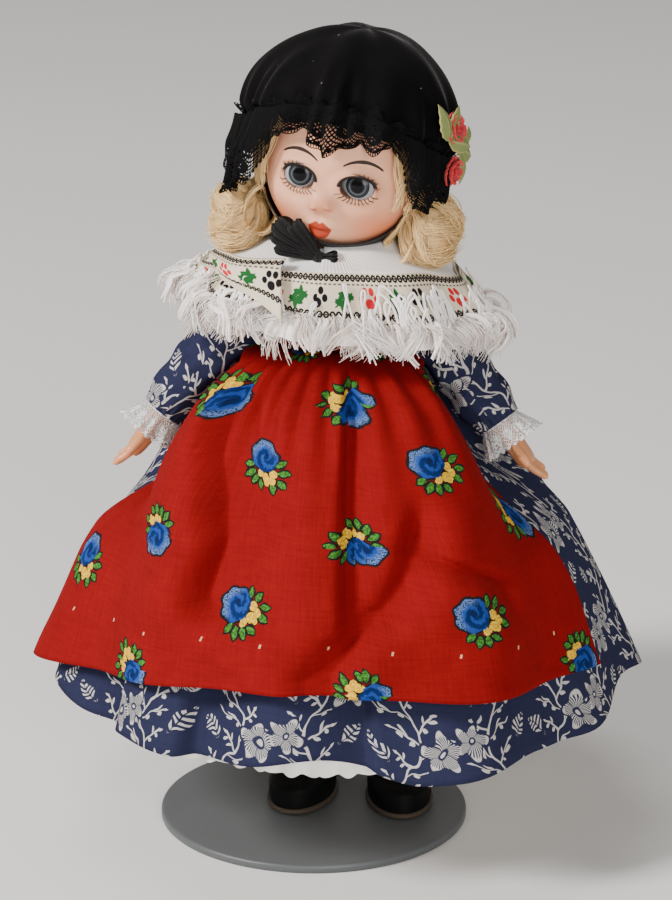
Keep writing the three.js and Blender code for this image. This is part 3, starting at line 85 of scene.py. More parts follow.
# Places that the frame gives
NECK = joint_at("head_tilt")
HIP_Z = joint_at("left_hip")[2]
LEAN = NECK[0] / (HIP_Z - NECK[2])
WAIST_Z = box_of("dress_skirt")[1, 2]
SLIP_Z = box_of("petticoat")[1, 2]
SHAWL_Z = NECK[2] + 2
HEAD_X = np.array(JOINTS["eyes_close"]["axis"])
HEAD_Z = np.array(JOINTS["head_turn"]["axis"])
HEAD = np.stack([HEAD_X, np.cross(HEAD_Z, HEAD_X), HEAD_Z], 1)
EYE_AXIS = (joint_at("eyes_close") - NECK) @ HEAD


def length(name, description, value):
    """A length in metres that a user may change."""
    return bpy.props.FloatProperty(name=name, description=description, default=value, unit="LENGTH")


def number(name, description, value):
    """A count that a user may change."""
    return bpy.props.IntProperty(name=name, description=description, default=value, min=1)


class DollSizes(bpy.types.PropertyGroup):
    """Sizes of the doll's clothes and trimmings."""

    hem_radius: length("Hem radius", "Radius of the skirt at its hem", 0.078)
    skirt_length: length("Skirt length", "Waist to hem", 0.093)
    apron_length: length("Apron length", "Waist to the apron's hem", 0.0728)
    fringe_length: length("Fringe length", "Length of the shawl's fringe", 0.0082)
    braid_width: length("Braid width", "Width of the woven braid on the shawl", 0.0088)
    lace_net: length("Lace net", "Pitch of the lace's net", 0.001)
    weave: length("Weave", "Pitch of the cotton's threads", 0.00042)
    fringe_yarns: number("Fringe yarns", "Yarns in each half of the fringe", 380)
    curl_hairs: number("Curl hairs", "Hairs in each side curl", 1500)


def paint(name, description, value):
    """A colour that a user may change."""
    return bpy.props.FloatVectorProperty(
        name=name, description=description, default=value, subtype="COLOR", size=3, min=0, max=1
    )


class DollColours(bpy.types.PropertyGroup):
    """Colours of the doll's materials."""

    face: paint("Face", "Painted vinyl of the face", (0.80, 0.405, 0.255))
    hand: paint("Limbs", "Hard plastic of the arms and legs", (0.68, 0.28, 0.125))
    blush: paint("Blush", "Sprayed cheeks", (0.74, 0.175, 0.06))
    lips: paint("Lips", "Painted mouth", (0.36, 0.022, 0.002))
    brow: paint("Brow", "Painted brows and lashes", (0.009, 0.006, 0.005))
    iris: paint("Iris", "Grey blue of the eyes", (0.036, 0.042, 0.049))
    hair: paint("Hair", "Blond wig", (1.0, 0.69, 0.32))
    velvet: paint("Velvet", "Black velvet and lace", (0.0036, 0.0032, 0.0035))
    apron: paint("Apron", "Red cotton of the apron", (0.20, 0.0052, 0.0062))
    indigo: paint("Indigo", "Ground of the printed dress", (0.020, 0.022, 0.052))
    print_white: paint("Print", "Off-white of the dress print", (0.50, 0.475, 0.45))
    cotton: paint("Cotton", "White cotton and yarn", (0.96, 0.94, 0.92))
    braid: paint("Braid", "Cream ground of the braid", (0.72, 0.62, 0.47))
    rose: paint("Rose", "Blue roses of the apron", (0.011, 0.042, 0.20))
    leaf: paint("Leaf", "Green of leaves", (0.045, 0.17, 0.024))
    yellow: paint("Yellow", "Small yellow flowers", (0.66, 0.34, 0.012))
    stand: paint("Stand", "Grey paint of the stand", (0.085, 0.091, 0.094))
    shoe: paint("Shoe", "Black shoes", (0.004, 0.004, 0.004))
    sole: paint("Sole", "Tan sole edges", (0.04, 0.026, 0.015))
    floor: paint("Floor", "Pale floor", (0.76, 0.745, 0.72))


def size(name):
    """A size property in millimetres."""
    return getattr(bpy.context.scene.doll_sizes, name) / MM


def count(name):
    """A number of strands."""
    return getattr(bpy.context.scene.doll_sizes, name)


def colour(name, light=1.0):
    """A colour property, made lighter or darker."""
    return tuple(min(1.0, v * light) for v in getattr(bpy.context.scene.doll_colours, name))


def lerp(a, b, t):
    """From a at t = 0 in a straight line to b at 1."""
    return a + (b - a) * t


def ease(x, low, high):
    """Smooth step from 0 at low to 1 at high."""
    t = np.clip((x - low) / (high - low), 0, 1)
    return t * t * (3 - 2 * t)


def hump(x, middle, width):
    """Bell curve of height 1."""
    return np.exp(-(((x - middle) / width) ** 2))


def unit(v):
    """Vectors of length 1."""
    return v / np.maximum(np.linalg.norm(v, axis=-1, keepdims=True), 1e-9)


def lattice(rows, columns, low=(0, 0), high=(1, 1)):
    """Two arrays, rows by columns: the row's parameter and the column's parameter."""
    return np.meshgrid(
        np.linspace(low[0], high[0], rows), np.linspace(low[1], high[1], columns), indexing="ij"
    )


def axis_x(z):
    """Middle line of the doll, which leans sideways."""
    return LEAN * (HIP_Z - z)


def on_head(p):
    """Points of the head's own frame, placed in the part's frame."""
    return p @ HEAD.T + NECK


class Shape:
    """Grids of points that together make one piece."""

    def __init__(self):
        self.points, self.faces, self.uvs, self.tints, self.slots = [], [], [], [], []
        self.total = 0

    def grid(self, p, uv=None, tint=0.5, slot=0, wrap=False):
        """Adds a grid of rows by columns of points, or many like grids at once. wrap joins the last
        column to the first. uv has one column more than the points where they wrap."""
        p = np.asarray(p, float)
        p = p[None] if p.ndim == 3 else p
        n, rows, columns = p.shape[:3]
        steps = columns if wrap else columns - 1
        base = np.arange(n)[:, None, None] * rows * columns + self.total
        i, j = np.meshgrid(np.arange(rows - 1), np.arange(steps), indexing="ij")
        k = (j + 1) % columns
        corner = [i * columns + j, i * columns + k, (i + 1) * columns + k, (i + 1) * columns + j]
        self.faces.append(np.stack([base + c for c in corner], -1).reshape(-1, 4))
        if uv is None:
            uv = np.stack(lattice(rows, steps + 1)[::-1], -1)
        uv = np.broadcast_to(uv, (n, rows, steps + 1, 2))
        loops = [uv[:, i, j], uv[:, i, j + 1], uv[:, i + 1, j + 1], uv[:, i + 1, j]]
        self.uvs.append(np.stack(loops, -2).reshape(-1, 2))
        self.points.append(p.reshape(-1, 3))
        self.tints.append(np.broadcast_to(tint, (n, rows, columns)).reshape(-1))
        self.slots.append(np.full(len(self.faces[-1]), slot))
        self.total += n * rows * columns
        return self

    def make(self, name, *materials, weld=False, thick=0.0, side=-1.0):
        """The piece as an object: mesh, cloth coordinates, tint, materials and finishing modifiers."""
        mesh = bpy.data.meshes.new(name)
        faces = np.concatenate(self.faces)
        mesh.from_pydata(np.concatenate(self.points) * MM, [], faces.tolist())
        layer = mesh.uv_layers.new(name="Cloth")
        layer.data.foreach_set("uv", np.concatenate(self.uvs).astype(np.float32).ravel())
        tint = mesh.attributes.new("tint", "FLOAT", "POINT")
        tint.data.foreach_set("value", np.concatenate(self.tints).astype(np.float32))
        mesh.polygons.foreach_set("material_index", np.concatenate(self.slots).astype(np.int32))
        if weld:
            work = bmesh.new()
            work.from_mesh(mesh)
            bmesh.ops.remove_doubles(work, verts=work.verts, dist=2e-6)
            bmesh.ops.dissolve_degenerate(work, edges=work.edges, dist=1e-7)
            bmesh.ops.recalc_face_normals(work, faces=work.faces)
            work.to_mesh(mesh)
            work.free()
        mesh.polygons.foreach_set("use_smooth", np.ones(len(mesh.polygons), bool))
        mesh.validate()
        for m in materials:
            mesh.materials.append(m)
        piece = bpy.data.objects.new(name, mesh)
        bpy.context.scene.collection.objects.link(piece)
        if thick:
            wall = piece.modifiers.new("Wall", "SOLIDIFY")
            wall.thickness = thick * MM
            wall.offset = side
        return piece


def mount(piece, node, body):
    """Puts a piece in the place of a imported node, on the body that it moves with."""
    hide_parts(node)
    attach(piece, body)


def tubes(paths, radius, sides=4):
    """Rings of points round many paths: at each step a ring stands square to the path's direction."""
    along = unit(np.gradient(paths, axis=1))
    mean = unit(along.mean(1, keepdims=True))
    helper = unit(np.cross(mean, unit(np.array([0.37, 0.61, 0.70])) + 0.15 * mean[..., ::-1]))
    first = unit(helper - (helper * along).sum(-1, keepdims=True) * along)
    second = np.cross(along, first)
    turn = np.arange(sides) * TAU / sides
    r = np.broadcast_to(radius, paths.shape[:2])[..., None, None]
    ring = np.cos(turn)[:, None] * first[:, :, None] + np.sin(turn)[:, None] * second[:, :, None]
    return paths[:, :, None] + r * ring


def strand_tint(values, paths, sides):
    """One tint for each strand, on all its points."""
    return np.broadcast_to(values[:, None, None], (*paths.shape[:2], sides))


def lathe(profile, middle, sides=96):
    """A profile of (radius, height) pairs turned round an upright axis."""
    p = np.asarray(profile, float)
    turn = np.linspace(0, TAU, sides, endpoint=False)
    ring = np.stack([np.cos(turn), np.sin(turn), np.zeros(sides)], -1)
    return middle + p[:, :1, None] * ring + p[:, 1:, None] * np.array([0, 0, 1.0])


class Ink:
    """A number in a material's nodes. Arithmetic on it adds Math nodes."""

    def __init__(self, finish, socket):
        self.finish, self.socket = finish, socket

    def math(self, operation, *others):
        node = self.finish.node("ShaderNodeMath", operation=operation)
        for place, value in zip(node.inputs, (self, *others)):
            self.finish.join(place, value)
        return Ink(self.finish, node.outputs[0])

    def __add__(self, other):
        return self.math("ADD", other)

    def __sub__(self, other):
        return self.math("SUBTRACT", other)

    def __rsub__(self, other):
        return (self * -1) + other

    def __mul__(self, other):
        return self.math("MULTIPLY", other)

    def __truediv__(self, other):
        return self.math("DIVIDE", other)

    __radd__, __rmul__ = __add__, __mul__

    def __abs__(self):
        return self.math("ABSOLUTE")

    def __or__(self, other):
        return self.math("MAXIMUM", other)

    def __and__(self, other):
        return self.math("MINIMUM", other)

    def wave(self, pitch=1.0):
        return (self * (TAU / pitch)).math("SINE")

    def fract(self):
        return self.math("FRACT")

    def floor(self):
        return self.math("FLOOR")

    def step(self, low, high):
        """0 below low and 1 above high, smooth between. With low over high it falls instead."""
        node = self.finish.node("ShaderNodeMapRange", interpolation_type="SMOOTHSTEP")
        flip = low > high
        node.inputs["From Min"].default_value = min(low, high)
        node.inputs["From Max"].default_value = max(low, high)
        node.inputs["To Min"].default_value = 1.0 if flip else 0.0
        node.inputs["To Max"].default_value = 0.0 if flip else 1.0
        self.finish.join(node.inputs["Value"], self)
        return Ink(self.finish, node.outputs["Result"])


class Finish:
    """A procedural material: a Principled shader and the nodes that feed it."""

    def __init__(self, name, base, roughness, **plain):
        self.material = bpy.data.materials.new(name)
        self.material.use_nodes = True
        self.tree = self.material.node_tree
        self.shader = self.tree.nodes["Principled BSDF"]
        self.shader.inputs["Base Color"].default_value = (*base, 1)
        self.shader.inputs["Roughness"].default_value = roughness
        for socket, value in plain.items():
            self.shader.inputs[socket.replace("_", " ")].default_value = value

    def node(self, kind, **settings):
        made = self.tree.nodes.new(kind)
        for name, value in settings.items():
            setattr(made, name, value)
        return made

    def join(self, place, value):
        if isinstance(value, Ink):
            self.tree.links.new(value.socket, place)
        elif isinstance(value, tuple) and len(value) == 3 and place.type == "RGBA":
            place.default_value = (*value, 1)
        else:
            place.default_value = value

    def vector(self, kind):
        return self.node("ShaderNodeTexCoord").outputs[kind]

    def parts(self, kind):
        """The three numbers of Object coordinates, or the two of the cloth coordinates."""
        split = self.node("ShaderNodeSeparateXYZ")
        self.tree.links.new(self.vector(kind), split.inputs[0])
        return tuple(Ink(self, split.outputs[k]) for k in range(2 if kind == "UV" else 3))

    def tint(self):
        return Ink(self, self.node("ShaderNodeAttribute", attribute_name="tint").outputs["Fac"])

    def noise(self, scale, detail=2.0, kind="Object", stretch=(1, 1, 1)):
        """Soft noise from 0 to 1, stretched along its axes."""
        place = self.node("ShaderNodeMapping")
        place.inputs["Scale"].default_value = stretch
        self.tree.links.new(self.vector(kind), place.inputs["Vector"])
        made = self.node("ShaderNodeTexNoise")
        made.inputs["Scale"].default_value = scale
        made.inputs["Detail"].default_value = detail
        self.tree.links.new(place.outputs[0], made.inputs["Vector"])
        return Ink(self, made.outputs["Fac"])

    def mix(self, factor, a, b):
        """From colour a to colour b. A Mix node's colour sockets are its inputs 6 and 7 and its output
        2."""
        made = self.node("ShaderNodeMix", data_type="RGBA")
        self.join(made.inputs["Factor"], factor)
        self.join(made.inputs[6], a)
        self.join(made.inputs[7], b)
        return Ink(self, made.outputs[2])

    def shade(self, factor, low, high, base):
        """Base colour times a number from low to high."""
        scaled = factor * (high - low) + low
        made = self.node("ShaderNodeVectorMath", operation="SCALE")
        if isinstance(base, Ink):
            self.tree.links.new(base.socket, made.inputs[0])
        else:
            made.inputs[0].default_value = base
        self.join(made.inputs["Scale"], scaled)
        return Ink(self, made.outputs[0])

    def colour(self, value):
        self.join(self.shader.inputs["Base Color"], value)

    def rough(self, value):
        self.join(self.shader.inputs["Roughness"], value)

    def alpha(self, value):
        self.join(self.shader.inputs["Alpha"], value)

    def bump(self, height, depth, strength=1.0):
        """Relief with a depth in millimetres."""
        made = self.node("ShaderNodeBump")
        made.inputs["Strength"].default_value = strength
        made.inputs["Distance"].default_value = depth * MM
        self.join(made.inputs["Height"], height)
        self.tree.links.new(made.outputs[0], self.shader.inputs["Normal"])


def disc(x, y, cx, cy, rx, ry=None):
    """Distance share from the middle of an ellipse: 1 on its edge."""
    ry = rx if ry is None else ry
    dx = (x - cx) / rx
    dy = (y - cy) / ry
    return (dx * dx + dy * dy).math("SQRT")


def spot(x, y, cx, cy, rx, ry=None, soft=0.12):
    """1 inside an ellipse and 0 outside."""
    return disc(x, y, cx, cy, rx, ry).step(1 + soft, 1 - soft)


def leaf_share(x, y, cx, cy, long, wide, turn):
    """Distance share from the middle of a pointed oval whose long side is turned by an angle: 1 on its
    edge."""
    c, s = math.cos(turn), math.sin(turn)
    dx, dy = x - cx, y - cy
    along = (dx * c + dy * s) / long
    return abs((dy * c - dx * s) / wide) + along * along


def leaf_spot(*leaf):
    """1 inside a pointed oval and 0 outside."""
    return leaf_share(*leaf).step(1.14, 0.86)


def stroke(x, y, start, end, width):
    """1 on a straight stroke with round ends."""
    ax, ay = end[0] - start[0], end[1] - start[1]
    square = ax * ax + ay * ay
    dx = x - start[0]
    dy = y - start[1]
    t = ((dx * ax + dy * ay) / square) | 0.0
    t = t & 1.0
    ox = dx - t * ax
    oy = dy - t * ay
    return (ox * ox + oy * oy).math("SQRT").step(width * 1.35, width * 0.65)


def weave_height(x, y, pitch):
    """Over and under of a plain weave in cloth millimetres."""
    return x.wave(pitch * 2) * y.wave(pitch * 2) * 0.5 + 0.5


def cotton(name, base, pitch_share=1.0, fuzz=0.10):
    """Plain woven cotton: threads over and under, uneven dye and a soft nap."""
    f = Finish(name, base, 0.95, Specular_IOR_Level=0.06)
    x, y = f.parts("UV")
    height = weave_height(x, y, size("weave") * pitch_share)
    cloud = f.noise(0.09, 3.0, "UV")
    grain = f.noise(2.4, 2.0, "UV")
    slub = (f.noise(0.8, 2.0, "UV", (0.14, 1.7, 1)) + f.noise(0.8, 2.0, "UV", (1.7, 0.14, 1))) * 0.5
    return f, x, y, height * 0.4 + slub * 0.6, cloud * 0.3 + grain * 0.2 + slub * 0.5, fuzz


def finish_cotton(pack, dyed, depth=0.05):
    """Dye made uneven by the cloth's cloudiness, painted shade and light along the threads' dips and rises,
    and the threads as bump.
    """
    f, _, _, height, cloud, fuzz = pack
    # cloud is uneven dye; height darkens the threads' dips and lightens their tops as painted shade and light
    uneven = cloud * 0.8 + height * 0.2
    f.colour(f.shade(uneven, 1 - fuzz * 1.6, 1 + fuzz * 1.6, dyed))
    f.bump(height * 0.6 + f.noise(1.1, 3.0, "UV") * 0.4, depth, 0.6)
    return f.material


def plain_cotton(name, base, fuzz=0.10):
    """Cotton of one colour."""
    return finish_cotton(cotton(name, base, 1.0, fuzz), base)


def repeat(value, start, pitch):
    """Distance from the nearest middle of a repeat, and the number of that repeat."""
    turns = (value - start) / pitch + 0.5
    return (turns.fract() - 0.5) * pitch, turns.floor()


def least(values):
    """The lowest of some numbers."""
    lowest = values[0]
    for value in values[1:]:
        lowest = lowest & value
    return lowest


# The apron's print in millimetres: repeat across and down, middle of the rose, place, half length,
# half width and turn of each leaf, place and radius of each small bloom, and the row of stitches
ROSE_WIDE, ROSE_LONG = 65.2, 38.0
ROSE_X, ROSE_Y = -2.5, -2.3
ROSE_LEAVES = (
    (2.9, -4.0, 1.6, 0.85, -1.1), (5.2, -2.3, 1.8, 0.9, -0.5), (6.6, 0.6, 1.6, 0.85, 0.3),
    (5.3, 3.1, 1.7, 0.9, 0.9), (-5.2, 2.8, 1.6, 0.85, 2.6), (-3.5, 4.6, 1.8, 0.95, 2.0),
    (-1.2, 5.2, 1.7, 0.9, 1.5), (1.3, 5.2, 1.6, 0.85, 0.8),
)
SMALL_BLOOMS = ((2.9, -0.4, 1.25), (1.6, 2.2, 1.3), (3.8, 1.5, 1.15), (-0.7, 2.7, 1.1), (2.8, 3.2, 0.95))
STITCH_ROW, STITCH_PITCH = 82.5, 17.0
APRON_R = 75.0


def rose_cotton():
    """Red cotton with a half-drop print, every other row turned round: a blue rose with small yellow
    flowers and green leaves on two sides of it, all in black outline. The print keeps its width where
    the apron is gathered. A row of cream stitches runs above the hem."""
    red = colour("apron")
    pack = cotton("apron_cotton", red, 1.0, 0.42)
    f, x, y = pack[:3]
    full = y * 0.0068 + 0.40
    ax, column = repeat(x, -20.7, ROSE_WIDE)
    bx, _ = repeat(x, -53.3, ROSE_WIDE)
    ay, row = repeat(y, 37.5, ROSE_LONG)
    by, _ = repeat(y, 18.5, ROSE_LONG)
    use = abs(ay).math("LESS_THAN", ROSE_LONG / 4)
    flip = use * 2 - 1
    px = (ax * use + bx * (1 - use)) * full * flip
    py = (ay * use + by * (1 - use)) * flip
    angle = (column * 1.7 + row * 2.9 + use * 1.3).math("SINE") * 0.5
    c, d = angle.math("COSINE"), angle.math("SINE")
    px, py = (px * c + py * d) * 1.06, (py * c - px * d) * 1.06
    wob = f.noise(0.75, 1.0, "UV") - 0.5
    px = px + wob * 1.1
    turn = (py - ROSE_Y).math("ARCTAN2", px - ROSE_X)
    rose = disc(px, py, ROSE_X, ROSE_Y, 4.7, 4.35) / ((turn * 7.0).math("SINE") * 0.05 + 1.0)
    yellow = least([disc(px, py, *bloom) for bloom in SMALL_BLOOMS])
    leaves = least([leaf_share(px, py, *leaf) for leaf in ROSE_LEAVES])
    dark = (rose.step(1.2, 1.11) | yellow.step(1.35, 1.2)) | leaves.step(1.75, 1.5)
    far = disc(px, py, -2.1, -2.7, 1.0)
    swirl = (far * 2.3 + turn * 2.0 + wob * 5.0).math("SINE").step(-0.5, 0.7)
    sun = (px + py + 4.8).step(1.5, -3.5) * rose.step(0.45, 0.85)
    sun = sun * f.noise(2.6, 1.0, "UV").step(0.40, 0.56)
    fine = f.noise(1.6, 2.0, "UV")
    ink = f.mix(dark, red, (0.012, 0.010, 0.010))
    green = f.mix(fine.step(0.42, 0.6), colour("leaf", 0.55), colour("leaf", 1.35))
    ink = f.mix(leaves.step(1.1, 0.85), ink, green)
    gold = f.mix(fine.step(0.4, 0.62), colour("yellow", 0.8), (0.78, 0.50, 0.05))
    ink = f.mix(yellow.step(1.08, 0.92), ink, gold)
    blue = f.mix(swirl, colour("rose", 0.45), colour("rose", 1.25))
    blue = f.mix(far.step(1.25, 0.7), blue, (0.006, 0.014, 0.06))
    blue = f.mix(sun * 0.7, blue, (0.17, 0.27, 0.50))
    ink = f.mix(rose.step(1.04, 0.97), ink, blue)
    hem = abs(y - STITCH_ROW - (x / APRON_R) * (x / APRON_R) * 4.5)
    across, _ = repeat(x, 3.0, STITCH_PITCH)
    stitches = abs(across + (y - STITCH_ROW) * 0.25).step(0.34, 0.2) * hem.step(0.6, 0.4)
    ink = f.mix(stitches * 0.7, ink, (0.72, 0.50, 0.30))
    return finish_cotton(pack, ink, 0.16)


# The dress print in millimetres: repeat across and down, and the distance from twig to twig
VINE_WIDE, VINE_LONG, TWIG = 24.0, 29.0, 5.8


def vine_cotton():
    """Indigo cotton with an off-white print: waving stems on a half-drop repeat, twigs that leave them
    by turns with small leaves, five-petal flowers and broad leaves, both hatched."""
    ground = colour("indigo")
    pack = cotton("dress_cotton", ground, 1.0, 0.34)
    f, x, y = pack[:3]
    x = x + (f.noise(0.15, 1.0, "UV") - 0.5) * 5.0
    y = y + (f.noise(0.13, 1.0, "UV", (1.3, 0.8, 1)) - 0.5) * 5.0
    px, column = repeat(x, 0.0, VINE_WIDE)
    py, _ = repeat(y + column * (VINE_LONG / 2), 0.0, VINE_LONG)
    bend = px - py.wave(VINE_LONG) * 3.6
    reach = abs(bend)
    step, _ = repeat(py + bend.step(-0.05, 0.05) * (TWIG / 2), 0.0, TWIG)
    climb = step + reach * 0.62 - 1.6
    twig = abs(climb).step(0.30, 0.17) * reach.step(6.6, 6.3)
    stem = reach.step(0.42, 0.26)
    leaves = leaf_spot(reach, climb, 7.2, 0.0, 1.1, 0.5, 0.0)
    for cx, cy, lean in ((2.7, 0.95, 0.8), (4.1, -0.95, -0.8), (5.5, 0.95, 0.8)):
        leaves = leaves | leaf_spot(reach, climb, cx, cy, 1.0, 0.43, lean)
    vine = (stem | twig) | leaves
    blooms, clear = None, None
    for cx, cy, r, start in ((8.3, 9.3, 5.4, 0.3), (-8.2, -8.2, 5.0, 1.1)):
        dx, dy = px - cx, py - cy
        turn = dy.math("ARCTAN2", dx) + start
        far = (dx * dx + dy * dy).math("SQRT") / r
        petal = far / ((turn * 5.0).math("COSINE") * 0.20 + 0.80)
        hatch = (turn * 40.0).math("SINE").step(-0.3, 0.2) * far.step(0.84, 0.7)
        part = abs((turn * 2.5).math("COSINE")).step(0.06, 0.14)
        one = petal.step(1.0, 0.93) * (1 - hatch) * part * far.step(0.20, 0.26) | far.step(0.13, 0.09)
        blooms = one if blooms is None else blooms | one
        near_it = petal.step(1.2, 1.12)
        clear = near_it if clear is None else clear | near_it
    for cx, cy, lean in ((-8.0, 8.8, 0.9), (8.2, -7.6, 2.3)):
        co, si = math.cos(lean), math.sin(lean)
        dx, dy = px - cx, py - cy
        along, across = dx * co + dy * si, dy * co - dx * si
        share = leaf_share(px, py, cx, cy, 4.0, 1.9, lean)
        hatch = (along * 4.2 + abs(across) * 3.0).math("SINE").step(-0.3, 0.1)
        blooms = blooms | share.step(1.05, 0.92) * (1 - hatch) * abs(across).step(0.10, 0.2)
        clear = clear | share.step(1.5, 1.35)
    ink = f.mix((vine * (1 - clear) | blooms) * 0.94, ground, colour("print_white"))
    return finish_cotton(pack, ink, 0.12)


def lace_finish(name, base, scallop, rows, gap=0.30, closed=0.08):
    """Net lace: crossing threads with closed dots, a cord along each edge, and closed cloth near its
    seam. Cloth x runs along the lace in millimetres and y from 0 at its seam to 1 at its scallops."""
    f = Finish(name, base, 0.9, Specular_IOR_Level=0.1)
    x, y = f.parts("UV")
    pitch = size("lace_net")
    deep = y * rows
    one = abs((x / pitch + deep).fract() - 0.5).step(gap, gap + 0.06)
    two = abs((x / pitch - deep).fract() - 0.5).step(gap, gap + 0.06)
    px = ((x / scallop).fract() - 0.5) * scallop
    py = y * rows * pitch
    middle = rows * pitch * 0.55
    turn = (py - middle).math("ARCTAN2", px)
    far = disc(px, py, 0.0, middle, scallop * 0.34)
    flower = far.step(1.0, 0.9) * ((turn * 6.0).math("COSINE") * 0.35 + far).step(0.12, 0.2)
    picot = abs((x / (scallop / 4)).fract() - 0.5).step(0.2, 0.1)
    rim = y.step(0.87, 0.9) * (1 - picot * y.step(0.96, 0.94))
    holes = f.noise(1.9, 1.0, "UV", (1, rows * 1.2, 1)).step(0.56, 0.60) * y.step(0.10, 0.16)
    seam = y.step(closed + 0.03, closed) * (1 - holes)
    f.alpha(((one | two) | flower) | (rim | seam))
    knots = f.noise(1.3, 2.0, "UV", (1, rows, 1))
    # Raised knots are lighter and the dips between them darker: painted light and shade that follow the bump
    f.colour(f.shade(knots, 0.35, 1.45, base))
    f.bump((one + two) * 0.5 + knots * 1.6, 0.35, 1.0)
    return f.material


def yarn_finish(name, low, high, roughness, **plain):
    """Strands whose colour runs from one to another by their tint."""
    f = Finish(name, high, roughness, **plain)
    f.colour(f.mix(f.tint(), low, high))
    return f.material


# Height above the hips, half width and half depth of the trunk
TRUNK = (
    (-5, 12.6, 7.75), (0, 16.6, 11.5), (6, 17.5, 12.5), (22, 15, 11), (38.2, 16.2, 11.5), (49, 16.8, 8.8),
    (53.7, 13.4, 8.5), (57, 9.6, 8.1),
)


def stations(table, h):
    """Values of a table at a height, eased from row to row. Each row starts with its height."""
    at, *columns = np.array(table, float).T
    k = np.clip(np.searchsorted(at, h) - 1, 0, len(at) - 2)
    t = ease(h, at[k], at[k + 1])
    return [lerp(column[k], column[k + 1], t) for column in columns]


def trunk_half(z):
    """Half width and half depth of the trunk at a height."""
    return stations(TRUNK, np.asarray(z, float) - HIP_Z)


def around(a, rx, ry, z):
    """Points of an oval round the doll's middle line, at an angle from the front toward its left."""
    return np.stack([axis_x(z) + rx * np.sin(a), -ry * np.cos(a), z + 0 * a], -1)


def round_trunk(a, z, out):
    """Points round the trunk at a height, a distance off it."""
    wide, deep = trunk_half(z)
    return around(a, wide + out, deep + out, z)


def move_off(p, a, reach, drop):
    """Moves points outward from the doll's middle line and down."""
    p[..., 0] += reach * np.sin(a)
    p[..., 1] -= reach * np.cos(a)
    p[..., 2] -= drop


def valley(a, u, line, depth, before, after):
    """A valley along a line of (angle, fall) pairs, steeper on one side, that fades out past both its
    ends."""
    angles, falls = np.array(line).T
    x = a - np.interp(u, falls, angles)
    fade = ease(u, falls[0] - 0.08, falls[0] + 0.05) * (1 - ease(u, falls[-1], falls[-1] + 0.14))
    return depth * fade * np.exp(-((x / np.where(x < 0, before, after)) ** 2))


# Valleys of the apron as (angle from the front, share of the fall), and of the skirt's hem as angle,
# depth and the width of each flank
RIGHT_VALLEY = ((-0.63, 0.08), (-0.55, 0.16), (-0.51, 0.23), (-0.43, 0.32), (-0.38, 0.42), (-0.41, 0.54))
MIDDLE_VALLEY = ((0.17, 0.03), (0.15, 0.16), (0.13, 0.30), (0.12, 0.45), (0.115, 0.54))
LEFT_VALLEY = ((0.46, 0.34), (0.44, 0.39), (0.37, 0.48), (0.29, 0.56), (0.12, 0.64), (0.01, 0.74))
SMALL_VALLEY = ((0.42, 0.42), (0.56, 0.46), (0.75, 0.525))
HEM_VALLEYS = (
    (-0.90, 4.0, 0.10, 0.05), (-0.46, 5.0, 0.03, 0.16), (0.16, 4.0, 0.16, 0.03), (0.95, 3.0, 0.1, 0.1),
)
CLOTH_EASE, SKIRT_SWELL = 1.25, 0.56
SLIP_IN, SLIP_LENGTH, SLIP_R = 7.8, 80.0, 69.0


def skirt(a, u, out):
    """The skirt's radius grows from the trunk to the hem with the 0.56th power of the fall, so it is
    full near the waist and straight at the hem. Folds grow toward the hem, the sides are pressed in
    below the arms, and the right side is blown out."""
    wide, deep = trunk_half(WAIST_Z)
    swell, side = u**SKIRT_SWELL, np.abs(a)
    fold = 3.2 * u**1.25 * (0.62 * np.cos(11 * a + 0.7) + 0.38 * np.cos(7 * a + 2.1))
    fold = fold + 1.2 * hump(a, -1.15, 0.6) * hump(u, 0.65, 0.3)
    fold = fold + 4 * hump(a, -0.85, 0.3) * hump(u, 0.27, 0.17)
    arm = ease(side, 0.84, 1.2) * (1 - ease(side, 1.66, 1.95))
    arm = arm * ease(u, 0, 0.115) * (1 - ease(u, 0.3, 0.52))
    hem = 2.6 * (0.6 * np.cos(2 * a + 0.5) + 0.4 * np.cos(5 * a + 1))
    reach = fold - 15 * arm + out
    rx = lerp(wide + CLOTH_EASE, size("hem_radius"), swell) + reach
    ry = lerp(deep + CLOTH_EASE, size("hem_radius"), swell) + reach
    z = WAIST_Z - u * (size("skirt_length") - hem * u)
    return around(a, rx, ry, z)


def skirt_folds(a, u):
    """Finer relief of the skirt's cloth: gathers at the waist, soft pleats and the valleys seen below
    the apron."""
    low = 0.0
    for middle, depth, before, after in HEM_VALLEYS:
        low = low + depth * ease(u, 0.55, 0.85) * hump(a, middle, np.where(a < middle, before, after))
    gathers = np.cos(34 * a + 2.5 * np.sin(3 * a)) * ease(u, 0, 0.03) * np.exp(-u / 0.16)
    pleats = np.cos(17 * a + 3 * u) * ease(u, 0.1, 0.5) * (1 - 0.5 * u)
    return 0.55 * gathers + 0.5 * pleats - low


def fall_length(u):
    """Length of cloth from the waist down to a share of the fall: the skirt's profile, straightened."""
    at = np.linspace(0, 1.1, 400) ** 2
    wide = size("hem_radius") - trunk_half(WAIST_Z)[1] - CLOTH_EASE
    steps = np.hypot(np.diff(at) * size("skirt_length"), np.diff(at**SKIRT_SWELL) * wide)
    return np.interp(u, at, np.concatenate([[0], np.cumsum(steps)]))


def skirt_hem(a):
    """Share of the skirt's length at its hem: lifted at both sides and in front, and lower beside
    that."""
    lift = 0.05 * hump(a, -1.2, 0.25) + 0.07 * hump(a, 1.5, 0.4)
    lift = lift + 0.022 * hump(a, -0.03, 0.17) - 0.008 * hump(a, 0.31, 0.08)
    return 1 - lift - 0.012 * np.cos(9 * a)


def slip(a, u, out):
    """The petticoat: a narrower bell with shallow waves."""
    wide, deep = trunk_half(SLIP_Z)
    hem = size("hem_radius") - SLIP_IN
    wave = 0.96 * u * np.cos(11 * a + 0.7)
    swell = u**0.86
    z = SLIP_Z - u * SLIP_LENGTH
    rx = lerp(wide + CLOTH_EASE, hem, swell) + wave + out
    ry = lerp(deep + CLOTH_EASE, hem, swell) + wave + out
    return around(a, rx, ry, z)


